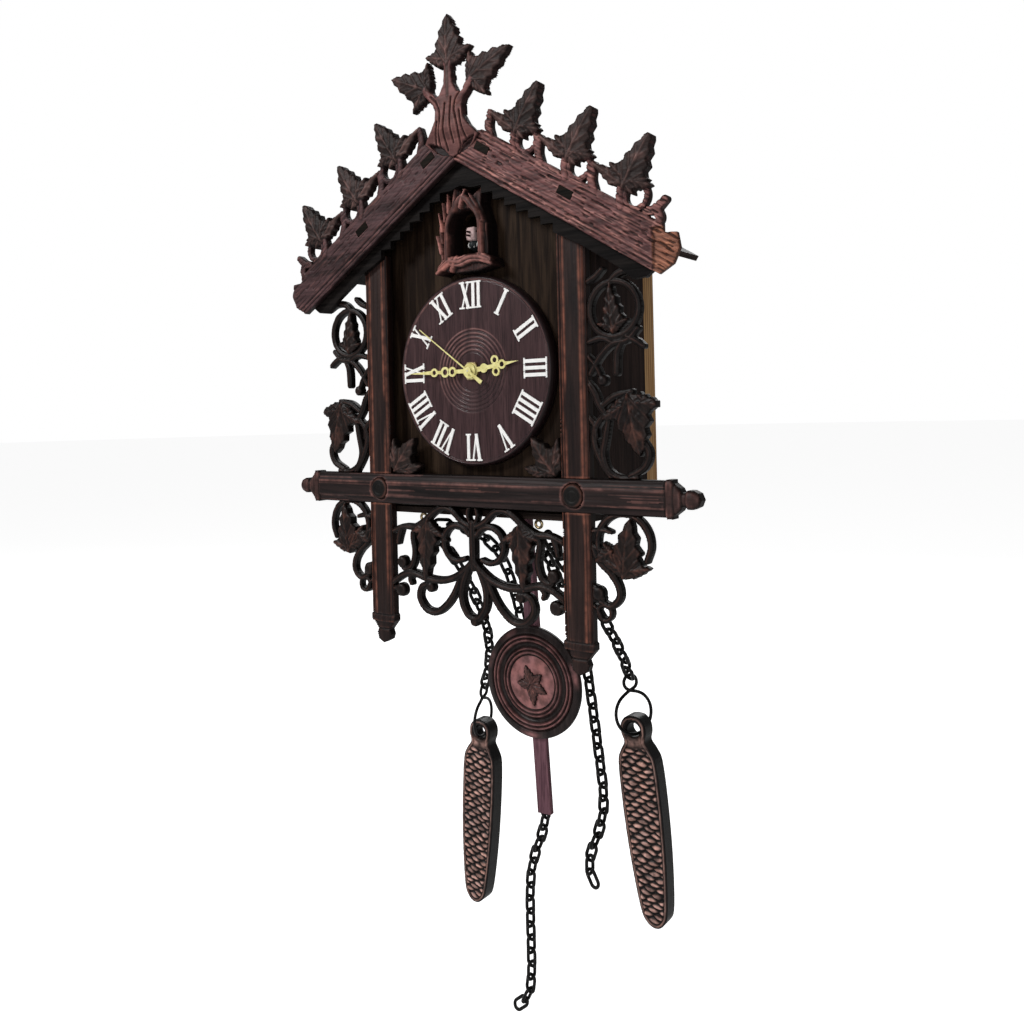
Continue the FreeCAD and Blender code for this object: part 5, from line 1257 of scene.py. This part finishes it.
def make_wire_loops():
    """The figure-of-eight wires that carry the weights: a ring through the eye, a small loop above."""
    for side, x, z, lean, turn in WEIGHTS:
        route = []
        for k in range(15):
            a = math.radians(72 - 324 * k / 14)
            route.append((14.0 * math.cos(a), 11.4 + 14.0 * math.sin(a), 0.0))
        route.append((-0.6, 26.0, 0.8))
        for k in range(9):
            a = math.radians(-48 + 276 * k / 8)
            route.append((5.2 * math.cos(a), 31.4 + 5.0 * math.sin(a), 0.0))
        route.append((-0.6, 26.0, -0.8))
        curve = bpy.data.curves.new(f"wire_loop_{side}", "CURVE")
        curve.dimensions = "3D"
        curve.bevel_depth = 0.0011
        curve.bevel_resolution = 4
        spline = curve.splines.new("NURBS")
        spline.points.add(len(route) - 1)
        ct, st = math.cos(math.radians(turn)), math.sin(math.radians(turn))
        cl, sl = math.cos(math.radians(lean)), math.sin(math.radians(lean))
        for point, (across, up, out) in zip(spline.points, route):
            px = across * ct - out * st
            py = across * st + out * ct
            point.co = (*to_row(x + px * cl + up * sl, 87.5 + py, z - px * sl + up * cl), 1)
        spline.use_cyclic_u = True
        spline.order_u = 3
        loop = put_in_scene(f"wire_loop_{side}", curve)
        loop.data.materials.append(M["wire"])
        finish_piece(loop, f"weight_{side}", [f"weight_wire_{side}"])


make_bargeboards()
make_ridge()
make_posts()
make_beam()
make_frets()
make_dial()
make_nest()
make_bird()
make_bob()
make_cones()
make_wire_loops()

# ---------------------------------------------------------------- stage, light and camera

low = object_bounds()[0]


def make_floor():
    """A wide pale floor a little under the clock."""
    mesh = bpy.data.meshes.new("floor")
    bm = bmesh.new()
    bmesh.ops.create_circle(bm, cap_ends=True, radius=25.0, segments=64)
    bm.to_mesh(mesh)
    bm.free()
    floor = put_in_scene("floor", mesh)
    floor.location.z = low[2] - 0.05
    material, tree, shader = new_material("pale_floor", 0.9)
    shader.inputs["Base Color"].default_value = (0.93, 0.93, 0.93, 1)
    shader.inputs["Emission Color"].default_value = (1, 1, 1, 1)
    rays = tree.nodes.new("ShaderNodeLightPath")
    glow = tree.nodes.new("ShaderNodeMapRange")
    glow.inputs["To Min"].default_value = 0.0
    glow.inputs["To Max"].default_value = 0.75
    link(tree, rays.outputs["Is Camera Ray"], glow.inputs["Value"])
    link(tree, glow.outputs["Result"], shader.inputs["Emission Strength"])
    paint(floor, material)


def area_light(name, place, target, size, power):
    """A soft square light aimed at a point."""
    data = bpy.data.lights.new(name, "AREA")
    data.size = size
    data.energy = power
    lamp = put_in_scene(name, data)
    lamp.location = place
    lamp.rotation_euler = (Vector(target) - Vector(place)).to_track_quat("-Z", "Y").to_euler()


make_floor()
area_light("key", (-0.9, -1.6, 1.0), (0, 0, -0.15), 0.5, 26.0)
area_light("front", (0.9, -1.8, 0.1), (0, 0, -0.2), 1.0, 8.0)
area_light("back", (-0.6, 1.6, 0.8), (0, 0, -0.2), 1.2, 16.0)

world = bpy.data.worlds.new("studio")
world.use_nodes = True
sky = world.node_tree.nodes["Background"]
sky.inputs["Color"].default_value = (1, 1, 1, 1)
seen = world.node_tree.nodes.new("ShaderNodeLightPath")
strength = world.node_tree.nodes.new("ShaderNodeMapRange")
strength.inputs["To Min"].default_value = 0.22
strength.inputs["To Max"].default_value = 1.0
world.node_tree.links.new(seen.outputs["Is Camera Ray"], strength.inputs["Value"])
world.node_tree.links.new(strength.outputs["Result"], sky.inputs["Strength"])
bpy.context.scene.world = world
bpy.context.scene.view_settings.view_transform = "Standard"

CAMERA_PLACE = (0.3634, -0.5566, -0.1222)
CAMERA_AZIMUTH = math.radians(35.709)
CAMERA_PITCH = math.radians(0.1075)
CAMERA_ROLL = math.radians(-1.310)


def make_camera():
    """The camera at the photograph's own angle and distance."""
    data = bpy.data.cameras.new("camera")
    data.sensor_width = 36.0
    data.lens = 33.05
    data.shift_x = 0.0034
    data.shift_y = -0.1003
    data.clip_start = 0.01
    camera = put_in_scene("camera", data)
    az, pitch, roll = CAMERA_AZIMUTH, CAMERA_PITCH, CAMERA_ROLL
    right = Vector((math.cos(az), math.sin(az), 0))
    ahead = Vector((-math.sin(az) * math.cos(pitch), math.cos(az) * math.cos(pitch), math.sin(pitch)))
    up = right.cross(ahead)
    rolled_right = right * math.cos(roll) + up * math.sin(roll)
    rolled_up = up * math.cos(roll) - right * math.sin(roll)
    turn = Matrix((rolled_right, rolled_up, -ahead)).transposed()
    camera.matrix_world = Matrix.Translation(CAMERA_PLACE) @ turn.to_4x4()
    bpy.context.scene.camera = camera


make_camera()
